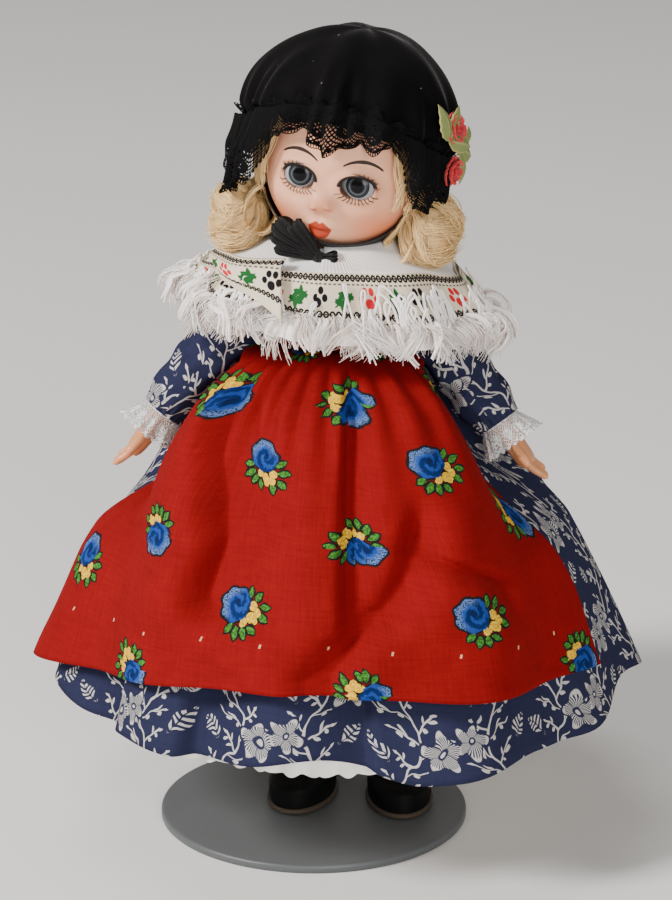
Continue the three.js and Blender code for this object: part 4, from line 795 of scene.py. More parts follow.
def shawl(a, t, out):
    """The shawl's cone: from the neck edge, which stands up, at t = 0 to the braid's upper edge at 1
    and the lower edge at 2. The lower edge slants down to the doll's left, and the cloth falls over
    that shoulder."""
    upper, lower = np.minimum(t, 1), np.maximum(t - 1, 0)
    edge = 39.5 - 4 * np.maximum(0, -np.sin(a))
    drop = 12 + 4 * np.sin(a)
    wide = lerp(15.5, 31, upper) + (edge - 31) * lower
    deep = lerp(14, 23.5, upper) + 3.5 * lower
    front = 0.5 + 0.5 * np.cos(a)
    rim = (4.6 + 3.2 * hump(a, 1.5, 0.6)) * (1 - 0.8 * front**3)
    fall = rim * upper + (drop - rim) * lower - 2.6 * (1 - upper) ** 2
    wave = 0.7 * t * np.cos(9 * a + 0.4)
    slope = math.atan2(7.4, 8.5) * upper + 0.35
    reach = wave + out * np.sin(slope)
    return np.stack(
        [
            axis_x(SHAWL_Z) + (wide + reach) * np.sin(a),
            -(deep + reach) * np.cos(a),
            SHAWL_Z - fall + out * np.cos(slope),
        ],
        -1,
    )


# Angles of the hanging arm out to the side and forward, and where the sleeve starts and ends along it
ARM_OUT, ARM_FORWARD = 0.646, 0.227
SLEEVE_START, SLEEVE_END = -1.05, 40.5


def arm_frame(side):
    """Along the arm, across the hand and through the hand, for one side."""
    down = math.cos(ARM_OUT)
    along = np.array([math.sin(ARM_OUT), -down * math.sin(ARM_FORWARD), -down * math.cos(ARM_FORWARD)])
    wide = unit(np.array([0, -1.0, 0]) + along * along[1])
    thick = np.cross(along, wide)
    flip = np.array([side, 1, 1])
    return along * flip, wide * flip, thick * flip


def arm_point(side, d, wide, thick):
    """A point of the arm from its distance along it and its offsets across and through."""
    along, across, through = arm_frame(side)
    shoulder = joint_at("left_shoulder" if side > 0 else "right_shoulder")
    d, wide, thick = (np.asarray(v, float)[..., None] for v in (d, wide, thick))
    return shoulder + d * along + wide * across + thick * through


def show_node(name, material):
    """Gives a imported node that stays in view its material."""
    node = frame["nodes"][name]
    node.data.materials.clear()
    node.data.materials.append(material)


# Name, place, aim, watts, width and tint of each lamp, in metres
LAMPS = (
    ("key", (-1.05, -0.72, 0.98), (0, 0, 0.1), 36.0, 0.36, (1.0, 0.985, 0.965)),
    ("fill", (0.6, -1.5, 0.5), (0, 0, 0.12), 18.0, 0.8, (1.0, 0.985, 0.97)),
    ("top", (-0.3, 0.45, 1.4), (0, 0, 0.1), 6.0, 0.8, (1.0, 0.99, 0.975)),
)
WORLD_TINT, WORLD_LIGHT = (1.0, 0.98, 0.96, 1), 0.32
FLOOR_HALF, FLOOR_Z = 4000, -0.05
CAMERA_AZIMUTH, CAMERA_ELEVATION = math.radians(6), math.radians(18.14)
CAMERA_TARGET = np.array([-1.35, 0, 98.11])
CAMERA_FAR, CAMERA_LENS, CAMERA_SENSOR = 1000, 151.17, 36


def build_stage():
    """Pale floor, soft lights from the upper left and a camera at the photograph's angle."""
    f = Finish("floor_paper", colour("floor"), 0.85, Specular_IOR_Level=0.15)
    f.colour(f.shade(f.noise(1.2, 1.0), 0.97, 1.03, colour("floor")))
    y, x = lattice(2, 2, (-FLOOR_HALF, -FLOOR_HALF), (FLOOR_HALF, FLOOR_HALF))
    floor = Shape().grid(np.stack([x, y, np.full((2, 2), FLOOR_Z)], -1)).make("floor", f.material)
    for name, place, target, power, wide, tint in LAMPS:
        lamp = bpy.data.lights.new(name, "AREA")
        lamp.energy, lamp.size, lamp.color = power, wide, tint
        made = bpy.data.objects.new(name, lamp)
        made.location = place
        back = unit(np.array(place) - np.array(target))
        made.rotation_euler = (math.acos(back[2]), 0, math.atan2(back[0], -back[1]))
        bpy.context.scene.collection.objects.link(made)
    world = bpy.data.worlds.new("studio")
    world.use_nodes = True
    light = world.node_tree.nodes["Background"].inputs
    light[0].default_value, light[1].default_value = WORLD_TINT, WORLD_LIGHT
    bpy.context.scene.world = world
    level = math.cos(CAMERA_ELEVATION)
    back = (math.sin(CAMERA_AZIMUTH) * level, -math.cos(CAMERA_AZIMUTH) * level, math.sin(CAMERA_ELEVATION))
    lens = bpy.data.cameras.new("camera")
    lens.lens, lens.sensor_width, lens.sensor_fit = CAMERA_LENS, CAMERA_SENSOR, "AUTO"
    eye = bpy.data.objects.new("camera", lens)
    eye.location = (CAMERA_TARGET + np.array(back) * CAMERA_FAR) * MM
    eye.rotation_euler = (math.pi / 2 - CAMERA_ELEVATION, 0, CAMERA_AZIMUTH)
    bpy.context.scene.collection.objects.link(eye)
    bpy.context.scene.camera = eye


BASE_RIM = 0.8


def build_stand():
    """Disc turned from its profile with a rounded rim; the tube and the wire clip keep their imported
    shapes."""
    low, high = box_of("stand_base")
    r, t = (high[0] - low[0]) / 2, high[2] - low[2]
    turn = np.linspace(0, math.pi / 2, 7)
    rim = np.array([r, t]) + BASE_RIM * (np.stack([np.cos(turn), np.sin(turn)], -1) - 1)
    under = [(0, 0), (r * 0.5, 0), (r - 0.3, 0), (r, 0.3)]
    profile = np.concatenate([under, rim, [(r * 0.8, t), (r * 0.4, t), (0, t)]])
    f = Finish("grey_paint", colour("stand"), 0.42, Specular_IOR_Level=0.45)
    f.colour(f.shade(f.noise(60.0, 4.0), 0.93, 1.06, colour("stand")))
    f.rough(f.noise(25.0, 3.0) * 0.16 + 0.36)
    f.bump(f.noise(900.0, 2.0), 0.02, 0.25)
    middle = (low + high) / 2 * np.array([1, 1, 0])
    base = Shape().grid(lathe(profile, middle, 180), wrap=True)
    base = base.make("base_disc", f.material, weld=True)
    mount(base, "stand_base", "stand")
    steel = Finish("plated_steel", (0.55, 0.55, 0.54), 0.3, Metallic=1.0)
    steel.rough(steel.noise(300.0, 3.0) * 0.2 + 0.22)
    ferrules = [f"{word}_{limb}_ferrule" for word, _ in SIDES for limb in ("arm", "leg")]
    for name in ("stand_post", "waist_clip", "neck_hook", *ferrules):
        show_node(name, steel.material)
    brass = Finish("brass", (0.70, 0.48, 0.20), 0.35, Metallic=1.0)
    brass.rough(brass.noise(300.0, 3.0) * 0.2 + 0.25)
    show_node("eye_rocker", brass.material)
    lead = Finish("lead", (0.16, 0.165, 0.175), 0.6, Metallic=0.8)
    lead.bump(lead.noise(900.0, 3.0), 0.1, 0.4)
    show_node("eye_weight", lead.material)


def limb_plastic():
    """Hard plastic of one colour, slightly cloudy."""
    f = Finish("limb_plastic", colour("hand"), 0.38, Specular_IOR_Level=0.45)
    f.colour(f.shade(f.noise(70.0, 2.0), 0.93, 1.05, colour("hand")))
    return f.material


# Distance along the arm, half width and half thickness of its rings
ARM_RINGS = (
    (1, 4.2, 4.2), (5, 5.0, 5.0), (9, 5.4, 5.4), (16, 5.3, 5.3), (22, 5.1, 5.1), (28, 4.9, 4.9),
    (34, 4.5, 4.5), (40, 4.0, 3.8), (44.4, 3.7, 3.2), (46, 3.6, 2.9), (48, 4.0, 2.7), (49.4, 4.4, 2.6),
    (51, 4.7, 2.5), (52.6, 4.7, 2.3), (54, 4.3, 1.8), (54.8, 0.2, 0.1),
)
# Place across the palm, reach along the arm and sideways bend of each finger
FINGERS = ((-3.25, 57.6, 0.3), (-1.12, 59.6, 0.1), (1.06, 59.9, -0.1), (3.2, 58.4, -0.3))
SHOULDER_BALL = 6.2


def digit(shape, path, steps, thick, taper):
    """A finger or thumb: a tube along a path that thins toward a rounded tip."""
    r = thick * np.sqrt(np.clip(1 - ((steps - 0.1) / 0.9) ** 8, 0, 1)) * (1 - taper * steps)
    shape.grid(tubes(path[None], np.maximum(r, 0.02), 12), wrap=True)


def build_body():
    """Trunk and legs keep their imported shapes. Each arm is a tapered tube that flattens into a palm
    with four fingers and a thumb, joined to the ball in the shoulder."""
    skin = limb_plastic()
    show_node("torso", skin)
    for word, side in SIDES:
        show_node(f"{word}_leg", skin)
        shape = Shape()
        d, w, t = np.array(ARM_RINGS, float).T[:, :, None]
        a = np.linspace(0, TAU, 28, endpoint=False)
        shape.grid(arm_point(side, d + 0 * a, w * np.cos(a), t * np.sin(a)), wrap=True)
        up = np.linspace(0, math.pi, 14)[:, None]
        ball = np.stack([np.cos(up) + 0 * a, np.sin(up) * np.cos(a), np.sin(up) * np.sin(a)], -1)
        shape.grid(joint_at(f"{word}_shoulder") + SHOULDER_BALL * ball, wrap=True)
        steps = np.linspace(0, 1, 12)
        for place, reach, bend in FINGERS:
            across = place * lerp(1.0, 0.98, steps) + bend * 0.5 * steps**2
            path = arm_point(side, lerp(51.0, reach, steps), across, -0.2 - 1.9 * steps**2)
            digit(shape, path, steps, 1.14, 0.12)
        across = 2.6 + 4.6 * steps - 1.0 * steps**3
        thumb = arm_point(side, lerp(47.5, 54.6, steps), across, -0.2 - 1.0 * steps)
        digit(shape, thumb, steps, 1.45, 0.15)
        arm = shape.make(f"{word}_arm_moulded", skin, weld=True)
        mount(arm, f"{word}_arm", f"{word}_arm")


def build_stringing():
    """The two elastics that hold the limbs: straight cords with a knot at each end, shut in by the
    trunk."""
    f = Finish("elastic", (0.72, 0.66, 0.52), 0.9)
    x = f.parts("Object")[0]
    f.bump((x * 4200.0).math("SINE"), 0.08, 0.6)
    for node in ("arm_elastic", "leg_elastic"):
        low, high = box_of(node)
        steps = np.linspace(0, 1, 60)
        reach = (high[0] - low[0]) / 2
        near_end = (1 - np.abs(2 * steps - 1)) * reach
        r = 1.1 + 0.5 * hump(near_end, 1.6, 1.1)
        r = r * np.sqrt(np.clip(near_end / 0.5, 0.0, 1.0))
        path = np.stack([lerp(low[0], high[0], steps), 0 * steps, 0 * steps + (low[2] + high[2]) / 2], -1)
        cord = Shape().grid(tubes(path[None], r, 14), wrap=True).make(f"{node}_cord", f.material, weld=True)
        mount(cord, node, "doll")


# The shoe's outline: share of its height, then half length, half width and middle as shares of its
# length and width
SHOE = (
    (0, 0.5, 0.5, -0.28), (0.35, 0.49, 0.5, -0.27), (0.62, 0.4, 0.47, -0.17), (0.84, 0.3, 0.43, -0.05),
    (1, 0.25, 0.4, 0),
)
SHOE_L, SHOE_W, SHOE_H = 29.0, 17.2, 13.0
SOLE_H, FOOT_APART, TOE_OUT = 1.2, 11.8, 0.16
# The leg: its length, and its radius at shares of that
LEG_LENGTH = 89.5
LEG_AT, LEG_R = (0.1, 0.15, 0.24, 0.38, 0.5, 0.66), (4.6, 4.6, 5.06, 6.2, 5.7, 6.75)
SOLE_Z = box_of("left_sole")[0, 2]


def foot_x(side):
    """Middle of a foot."""
    return axis_x(SOLE_Z) + side * FOOT_APART


def shoe_ring(side, h, z, more, a):
    """Outline of the shoe at a share of its height: an oval whose length, width and middle change
    upward."""
    long, wide, y = stations(SHOE, h)
    px = (wide * SHOE_W + more) * np.cos(a)
    py = y * SHOE_L + (long * SHOE_L + more) * np.sin(a)
    turn = side * TOE_OUT
    return np.stack(
        [
            foot_x(side) + px * math.cos(turn) - py * math.sin(turn),
            px * math.sin(turn) + py * math.cos(turn),
            z + 0 * px,
        ],
        -1,
    )


def build_feet():
    """Black slip-on shoes on tan soles, and white stockings that fit the legs."""
    leather = Finish("shoe_black", colour("shoe"), 0.5, Specular_IOR_Level=0.06)
    leather.rough(leather.noise(120.0, 3.0) * 0.25 + 0.38)
    leather.bump(leather.noise(1500.0, 3.0), 0.06, 0.4)
    tan = Finish("sole_tan", colour("sole"), 0.75)
    tan.colour(tan.shade(tan.noise(400.0, 3.0), 0.75, 1.2, colour("sole")))
    knit = plain_cotton("stocking_knit", colour("cotton", 0.92))
    a = np.linspace(0, TAU, 72, endpoint=False)
    for word, side in SIDES:
        upper = SOLE_Z + SOLE_H + 0.12
        rows = np.linspace(0, 1, 26)[:, None]
        swell = 0.25 * np.sin(np.pi * np.minimum(rows * 1.6, 1))
        outer = shoe_ring(side, rows, upper + rows * SHOE_H, swell - 0.2, a)
        rows, drop = np.array([1.0, 0.97, 0.9])[:, None], np.array([-0.2, 0.5, 2.0])[:, None]
        lip = shoe_ring(side, rows, upper + SHOE_H - drop, -1.0, a)
        shoe = Shape().grid(np.concatenate([outer, lip]), wrap=True)
        shoe = shoe.make(f"{word}_shoe_upper", leather.material)
        mount(shoe, f"{word}_shoe", f"{word}_leg")
        heights = np.array([0, 0.15, 0.5, 0.85, 1.0])[:, None]
        side_out = 0.5 - 0.18 * (np.abs(2 * heights - 1) ** 4)
        wall = shoe_ring(side, 0 * heights, SOLE_Z + heights * SOLE_H, side_out, a)
        middle = wall.mean(1, keepdims=True)
        cap_low = middle[:1] + (wall[:1] - middle[:1]) * np.array([0.0, 0.6])[:, None, None]
        cap_high = middle[-1:] + (wall[-1:] - middle[-1:]) * np.array([0.6, 0.0])[:, None, None]
        sole = Shape().grid(np.concatenate([cap_low, wall, cap_high]), wrap=True)
        sole = sole.make(f"{word}_shoe_sole", tan.material, weld=True)
        mount(sole, f"{word}_sole", f"{word}_leg")
        low, high = box_of(f"{word}_stocking")
        z = np.linspace(low[2], high[2], 30)[:, None]
        h = (z - SOLE_Z) / LEG_LENGTH
        r = np.interp(h, LEG_AT, LEG_R) + 0.95
        x = lerp(foot_x(side), joint_at(f"{word}_hip")[0], h)
        turn = np.linspace(0, TAU, 49)
        leg = np.stack([x + r * np.sin(turn), -r * np.cos(turn) + 0 * z, z + 0 * turn], -1)
        uv = np.stack([r * turn, z + 0 * turn], -1)
        sock = Shape().grid(leg, uv).make(f"{word}_stocking_knit", knit, weld=True, thick=0.55)
        mount(sock, f"{word}_stocking", f"{word}_leg")


# The head's frame starts at the neck's joint: the head's middle, the eyes' place, ball and opening, the
# mouth, and the cloth coordinate that lies off the painted face
HEAD_MIDDLE = np.array([0, 0, 30.5])
EYE_X, EYE_R = 7.6, 5.95
EYE_Z, EYE_HALF = 23.9, (4.1, 2.95)
LIP_X, LIP_Z = -0.7, 11.2
NO_PAINT = 100.0


def aim(down, a):
    """Direction at an angle from the crown and an angle round the head from the front."""
    return np.stack([np.sin(down) * np.sin(a), -np.sin(down) * np.cos(a), np.cos(down) + 0 * a], -1)


def near(d, place, spread):
    """Bell curve of height 1 round a direction."""
    return np.exp(-((d - unit(np.array(place, float))) ** 2).sum(-1) / spread)


def head_r(d):
    """Radius of the head in a direction: an egg with a nose, a chin and two cheeks."""
    deep = np.where(d[..., 2] > 0, 25.0, 29.0)
    r = 1 / np.sqrt((d[..., 0] / 21.3) ** 2 + (d[..., 1] / 22.0) ** 2 + (d[..., 2] / deep) ** 2)
    cheeks = near(d, (0.56, -0.7, -0.5), 0.16) + near(d, (-0.56, -0.7, -0.5), 0.16)
    nose, chin = near(d, (-0.05, -1, -0.5), 0.017), near(d, (0, -0.66, -0.78), 0.05)
    return r + 4.0 * nose + 1.8 * chin + 1.9 * cheeks


def off_head(d, out):
    """Points in a direction from the head's middle, a distance off its surface."""
    return d * (head_r(d) + out)[..., None] + HEAD_MIDDLE


def edge_at(a, front, side, back):
    """Angle from the crown to an edge that is high in front, lower at the sides and lowest behind."""
    c = np.cos(a)
    return np.where(c > 0, lerp(side, front, np.abs(c) ** 1.4), lerp(side, back, -c))


def face_paint():
    """Painted vinyl. Cloth coordinates are millimetres across and up the front of the head: blush, mouth,
    nostrils, brows, the lids' dark edge and short lower lashes are drawn there."""
    skin = colour("face")
    f = Finish("face_vinyl", skin, 0.42, Specular_IOR_Level=0.25, Subsurface_Weight=0.06)
    f.shader.inputs["Subsurface Radius"].default_value = (0.004, 0.0015, 0.0008)
    x, y = f.parts("UV")
    ink = f.shade(f.noise(45.0, 2.0), 0.96, 1.04, skin)
    for cx, cy, rx, ry, edge, full, strength in (
        (-13.5, 10.6, 10.0, 9.0, 1.15, 0.0, 0.8), (13.6, 12.4, 10.0, 9.0, 1.15, 0.0, 0.8),
        (-0.4, 4.6, 6.0, 4.0, 1.2, 0.0, 0.45), (-0.4, 18.2, 4.4, 2.6, 1.2, 0.1, 0.45),
    ):
        ink = f.mix(disc(x, y, cx, cy, rx, ry).step(edge, full) * strength, ink, colour("blush"))
    lines = None
    for side in (-1, 1):
        dx, dy = x - side * EYE_X, y - EYE_Z
        turn = dy.math("ARCTAN2", dx * side)
        ring = disc(x, y, side * EYE_X, EYE_Z, *EYE_HALF)
        # A darker warm ring round each eye, then painted shade on the socket's wall inside the opening
        ink = f.mix(ring.step(1.8, 0.9) * 0.4, ink, (0.42, 0.17, 0.09))
        ink = f.mix(ring.step(1.07, 1.0) * 0.9, ink, (0.03, 0.015, 0.011))
        upper = abs(ring - 1.08).step(0.22, 0.12) * turn.step(-0.12, 0.3)
        fan = abs((turn * 4.2).fract() - 0.5).step(0.2, 0.12)
        low = fan * ring.step(1.0, 1.05) * ring.step(1.6, 1.44)
        low = low * turn.step(-0.15, -0.35) * turn.step(-2.85, -2.65)
        high = abs((turn * 3.6).fract() - 0.5).step(0.16, 0.08) * ring.step(1.10, 1.16)
        high = high * ring.step(1.48, 1.36) * turn.step(0.05, 0.2) * turn.step(1.5, 1.2)
        bx, by = x - side * 8.3, y - 24.1
        arc = abs((bx * bx + by * by).math("SQRT") - 7.15)
        lean = abs(bx.math("ARCTAN2", by))
        brow = (arc / (0.54 - lean * 0.42)).step(1.1, 0.85) * lean.step(0.80, 0.70)
        mark = (upper | (low * 0.95)) | ((high * 0.85) | (brow * 0.98))
        lines = mark if lines is None else lines | mark
    px, py = (x - LIP_X) / 3.1, y - LIP_Z
    bow = 1 - px * px
    top = py / (bow * 2.0 + abs(px).step(0.0, 0.35) * 0.5 + 0.05)
    under = py / (bow * -2.75 - 0.05)
    mouth = abs(px).step(1.02, 0.96) * (top | under).step(1.08, 0.92)
    ink = f.mix(mouth * 0.95, ink, f.shade(f.noise(300.0, 2.0), 0.85, 1.1, colour("lips")))
    # A darker line where the lips meet: painted shade in the groove between them
    parting = abs(py + px * px * 0.5).step(0.28, 0.10) * abs(px).step(0.9, 0.7)
    ink = f.mix(parting * 0.4, ink, colour("lips", 0.35))
    for cx, cy in ((-2.0, 17.6), (1.4, 17.9)):
        ink = f.mix(spot(x, y, cx, cy, 0.85, 0.55, 0.5) * 0.8, ink, (0.50, 0.10, 0.03))
    f.colour(f.mix(lines & 1.0, ink, colour("brow")))
    return f.material


# Small relief of the face: lift, then place and width across, then place and width up
FACE_RELIEF = (
    (0.55, LIP_X - 1.0, 2.0, 12.5, 1.1), (0.55, LIP_X + 1.0, 2.0, 12.5, 1.1), (1.0, LIP_X, 2.4, 10.0, 1.3),
    (-0.65, LIP_X, 3.4, 11.3, 0.42), (-0.5, LIP_X, 1.0, 14.6, 1.2), (-0.5, LIP_X, 4.0, 7.4, 1.2),
    (1.15, -2.3, 1.1, 18.4, 1.1), (1.15, 1.8, 1.1, 18.4, 1.1), (-0.5, -1.75, 0.5, 17.5, 0.45),
    (-0.5, 1.25, 0.5, 17.5, 0.45),
)


def build_head():
    """The moulded head: the egg with its nose, lips, eye sockets with raised lids, and the neck below
    it. Columns crowd toward the face."""
    s = np.linspace(-math.pi, math.pi, 260)
    a = (s - 0.72 * np.sin(s))[None]
    down = np.linspace(0, math.pi, 236)[:, None]
    d = aim(down + 0 * a, a + 0 * down)
    r = head_r(d)
    x, z = d[..., 0] * r, d[..., 2] * r + HEAD_MIDDLE[2]
    front = ease(-d[..., 1], 0.0, 0.35)
    more = sum(lift * hump(x, cx, wide) * hump(z, cz, high) for lift, cx, wide, cz, high in FACE_RELIEF)
    for side in (-1, 1):
        e = np.hypot((x - side * EYE_X) / EYE_HALF[0], (z - EYE_Z) / EYE_HALF[1])
        outer = 0.5 + 0.5 * np.tanh(side * (x - side * EYE_X) / 2.0)
        more = more - 3.6 * (1 - ease(e, 0.93, 1.02)) + (0.12 + 0.3 * outer) * hump(e, 1.16, 0.17)
        more = more - 0.5 * hump(e, 1.75, 0.45)
    p = d * (r + more * front)[..., None] + HEAD_MIDDLE
    uv = np.where((d[..., 1] < 0)[..., None], np.stack([x, z], -1), NO_PAINT)
    shape = Shape().grid(on_head(p), uv)
    up = np.linspace(-6.8, 9, 24)
    neck_r = np.where(up < 0, np.sqrt(np.clip(49 - up**2, 1, None)), 7 + up * 0.03)
    ring = lathe(np.stack([neck_r, up], -1), np.zeros(3), 64)
    shape.grid(on_head(ring), np.full((24, 65, 2), NO_PAINT), wrap=True)
    head = shape.make("head_moulded", face_paint(), weld=True)
    mount(head, "head", "head")


LASHES, LASH_SWING = 54, 0.72


def build_eyes():
    """Glass sleep eyes: balls whose cloth coordinates are the angle from the pupil and the height
    angle. The upper part is a skin-coloured lid with lashes along its edge."""
    f = Finish("eye_glass", (0.8, 0.82, 0.84), 0.14, Specular_IOR_Level=0.16)
    far, lift = f.parts("UV")
    streak = f.noise(900.0, 3.0)
    iris = f.mix(streak, colour("iris", 0.4), colour("iris", 1.0))
    iris = f.mix(abs(far - 0.365).step(0.035, 0.012) * 0.8, iris, (0.10, 0.11, 0.12))
    iris = f.mix(far.step(0.45, 0.535), iris, (0.008, 0.009, 0.011))
    ink = f.mix(far.step(0.555, 0.535), (0.30, 0.30, 0.31), iris)
    ink = f.mix(far.step(0.30, 0.285), ink, (0.002, 0.002, 0.0025))
    lid = lift.step(0.44, 0.45) | far.step(1.25, 1.3)
    # A dark band on the ball just under the lid: painted shade from the lid and its lashes
    ink = f.mix(lift.step(0.16, 0.36) * 0.93, ink, (0.010, 0.007, 0.006))
    f.colour(f.mix(lid, ink, colour("face", 0.9)))
    lash = Finish("lashes", colour("brow"), 0.7)
    lash.colour(lash.mix(lash.tint(), colour("brow", 0.6), colour("brow", 1.6)))
    tilt = np.linspace(0, math.pi, 60)[:, None]
    turn = np.linspace(0, TAU, 72, endpoint=False)[None]
    d = np.stack([np.sin(tilt) * np.cos(turn), -np.cos(tilt) + 0 * turn, np.sin(tilt) * np.sin(turn)], -1)
    angle = np.stack([tilt + 0 * turn, np.arcsin(np.clip(d[..., 2], -1, 1))], -1)
    angle = np.concatenate([angle, angle[:, :1]], 1)
    rng = np.random.default_rng(11)
    steps = np.linspace(0, 1, 6)
    for word, side in SIDES:
        middle = np.array([side * EYE_X, EYE_AXIS[1], EYE_AXIS[2]])
        shape = Shape().grid(on_head(middle + EYE_R * d), angle, wrap=True)
        swing = np.linspace(-0.66, LASH_SWING, LASHES) * side
        height = 0.40 - 0.24 * (swing / LASH_SWING) ** 2
        root = np.stack([np.cos(height) * np.sin(swing), -np.cos(height) * np.cos(swing), np.sin(height)], -1)
        reach = rng.uniform(1.2, 1.7, LASHES) * (1 + 0.35 * (side * swing / LASH_SWING))
        spread = 0.35 * np.stack([np.sin(swing), 0 * swing, 0 * swing], -1)
        out = unit(root + np.array([0, -0.35, 0.1]) + spread)
        curl = steps[:, None] * out[:, None] + (steps**2)[:, None] * np.array([0, 0, 0.55])
        paths = middle + root[:, None] * (EYE_R - 0.1) + reach[:, None, None] * curl
        shape.grid(on_head(tubes(paths, 0.14 * (1 - 0.85 * steps), 4)), slot=1, wrap=True)
        eye = shape.make(f"{word}_eye_glass", f.material, lash.material)
        mount(eye, f"{word}_eye", "eyes")


def hair_finish():
    """Blond strands with a golden bloom."""
    f = Finish("blond_hair", colour("hair"), 0.3, Specular_IOR_Level=0.45, Sheen_Weight=0.9)
    f.shader.inputs["Sheen Tint"].default_value = (1.0, 0.66, 0.28, 1)
    f.colour(f.mix(f.tint(), colour("hair", 0.62), colour("hair")))
    return f.material


# Points along a hair, locks in a side curl, hairs that stand off it, and half sizes of it and its core
HAIR_STEPS, LOCKS, STRAYS = 14, 12, 130
CURL_HALF, CORE_HALF = np.array([7.8, 9.4, 9.8]), np.array([6.6, 8.0, 8.3])
TEMPLE_HAIRS, BACK_HAIRS = 900, 1700


def curl_middle(side):
    """Middle of a side curl in the head's frame."""
    return np.array([side * 25.3, -3.0, 9.3 + side * 3.2])


def side_curl(rng, side, hairs):
    """Hairs of one side curl: in locks they leave the temple, bow out over a rounded mass and turn
    under at its far end with a slow wave. A few stand off it."""
    steps = np.linspace(0, 1, HAIR_STEPS)[None]
    pole = unit(np.array([-0.62 * side, -0.45, 0.65]))
    first = unit(np.cross(pole, np.array([0, -1.0, 0.2])))
    second = np.cross(pole, first)
    lock = rng.integers(0, LOCKS, hairs)[:, None]
    off = rng.normal(0, 0.19, hairs)[:, None]
    fall = lerp(rng.uniform(0.1, 0.8, hairs)[:, None], rng.uniform(2.0, 3.0, hairs)[:, None], steps)
    wave = 0.22 * np.sin(5 * steps + 4.1 * lock) + 0.05 * np.sin(15 * steps + 40 * off)
    twist = lock * TAU / LOCKS + off * (1 + 0.6 * np.sin(6 * steps + lock)) + side * 1.2 * steps**2 + wave
    depth = rng.uniform(0.93, 1.02, hairs)[:, None] + 0.07 * np.sin(lock * 2.3 + 3 * steps) - 2.0 * off**2
    depth = depth + 0.02 * np.sin(18 * steps + 60 * off)
    stray = np.arange(hairs)[:, None] < STRAYS
    depth = depth + np.where(stray, rng.uniform(0.02, 0.26, hairs)[:, None] * steps, 0)
    across = np.cos(twist)[..., None] * first + np.sin(twist)[..., None] * second
    ring = np.sin(fall)[..., None] * across + np.cos(fall)[..., None] * pole
    return curl_middle(side) + depth[..., None] * ring * CURL_HALF


def push_out(p, gap):
    """Moves points of the head's frame that are closer to its middle than the wig's surface out to it."""
    ray = p - HEAD_MIDDLE
    far = np.linalg.norm(ray, axis=-1)
    d = ray / far[..., None]
    need = head_r(d) + gap
    return np.where((far < need)[..., None], d * need[..., None] + HEAD_MIDDLE, p)


def back_roll(t, turn, share):
    """The roll of curls round the back: rings, taller than wide, along an arc from ear to ear. It is
    thinner at its ends and swells nine times on its way."""
    a = lerp(0.64 * math.pi, -0.64 * math.pi, t)
    r = 7 * (0.72 + 0.28 * np.sin(np.pi * t)) * (1 + 0.08 * np.cos(t * 9 * TAU)) * share
    flat = np.stack([19.8 * np.sin(a), 23 * np.cos(a), 0 * a], -1)
    across = (r * 0.9 * np.cos(turn))[..., None] * unit(flat)
    return flat + across + (10.3 + r * 1.25 * np.sin(turn))[..., None] * np.array([0, 0, 1.0])


def build_hair():
    """A wig of blond hair: a base under the cap, locks down both temples, a wound curl at each side and
    a roll of curls round the back."""
    hair = hair_finish()
    rng = np.random.default_rng(5)
    u, v = lattice(28, 121, (0, -math.pi), (1, math.pi))
    edge = edge_at(v, 1.08, 1.95, 2.15)
    base = off_head(aim(u * edge, v), 1.3 + 0.25 * np.cos(40 * v))
    shape = Shape().grid(on_head(base), tint=0.35 + 0.2 * np.cos(61 * v))
    n = TEMPLE_HAIRS
    side = np.where(np.arange(n) % 2 == 0, 1, -1)[:, None]
    steps = np.linspace(0, 1, 12)[None]
    a0 = rng.uniform(0.72, 1.75, n)[:, None]
    down0 = edge_at(a0, 1.05, 1.5, 1.9)
    fall = rng.uniform(0.45, 0.8, n)[:, None]
    turn = a0 + 0.10 * np.sin(steps * 5 + a0 * 30) * steps + 0.12 * steps * (1.2 - a0)
    lift = rng.uniform(1.2, 2.9, n)[:, None] + 0.5 * np.sin(steps * 3)
    paths = off_head(aim(down0 + fall * steps, side * turn), lift)
    tint = strand_tint(rng.uniform(0, 1, n), paths, 3)
    shape.grid(on_head(tubes(paths, 0.11 * (1 - 0.5 * steps), 3)), tint=tint, wrap=True)
    wig = shape.make("wig_hair", hair)
    mount(wig, "wig_cap", "head")
    taper = np.sqrt(np.sin(np.linspace(0.3, math.pi - 0.05, HAIR_STEPS)))[None]
    for word, sign in SIDES:
        hairs = count("curl_hairs")
        paths = push_out(side_curl(rng, sign, hairs), 1.6)
        tint = strand_tint(rng.uniform(0, 1, hairs), paths, 3)
        curl = Shape().grid(on_head(tubes(paths, 0.105 * taper, 3)), tint=tint, wrap=True)
        down, a = lattice(24, 49, (0, 0), (math.pi, TAU))
        lump = curl_middle(sign) + aim(down, a) * CORE_HALF
        curl.grid(on_head(push_out(lump, 1.2)), tint=0.4 + 0.2 * np.cos(17 * down + 3 * a))
        piece = curl.make(f"{word}_curl_hair", hair)
        mount(piece, f"{word}_curls", "head")
    n = BACK_HAIRS
    t = rng.uniform(0.0, 1, n)[:, None]
    start = rng.uniform(0, TAU, n)[:, None]
    sweep = rng.uniform(2.0, 4.2, n)[:, None]
    turn = start - sweep * np.linspace(0, 1, HAIR_STEPS)[None]
    along = np.clip(t + 0.02 * np.sin(turn * 2), 0, 1)
    paths = push_out(back_roll(along, turn, rng.uniform(0.9, 1.04, (n, 1))), 1.6)
    tint = strand_tint(rng.uniform(0, 1, n), paths, 3)
    back = Shape().grid(on_head(tubes(paths, 0.12 * taper, 3)), tint=tint, wrap=True)
    t, turn = lattice(60, 33, (0, 0), (1, TAU))
    back.grid(on_head(push_out(back_roll(t, turn, 0.9), 1.2)), tint=0.25 + 0.15 * np.cos(90 * t))
    piece = back.make("back_curl_hair", hair)
    mount(piece, "back_curls", "head")


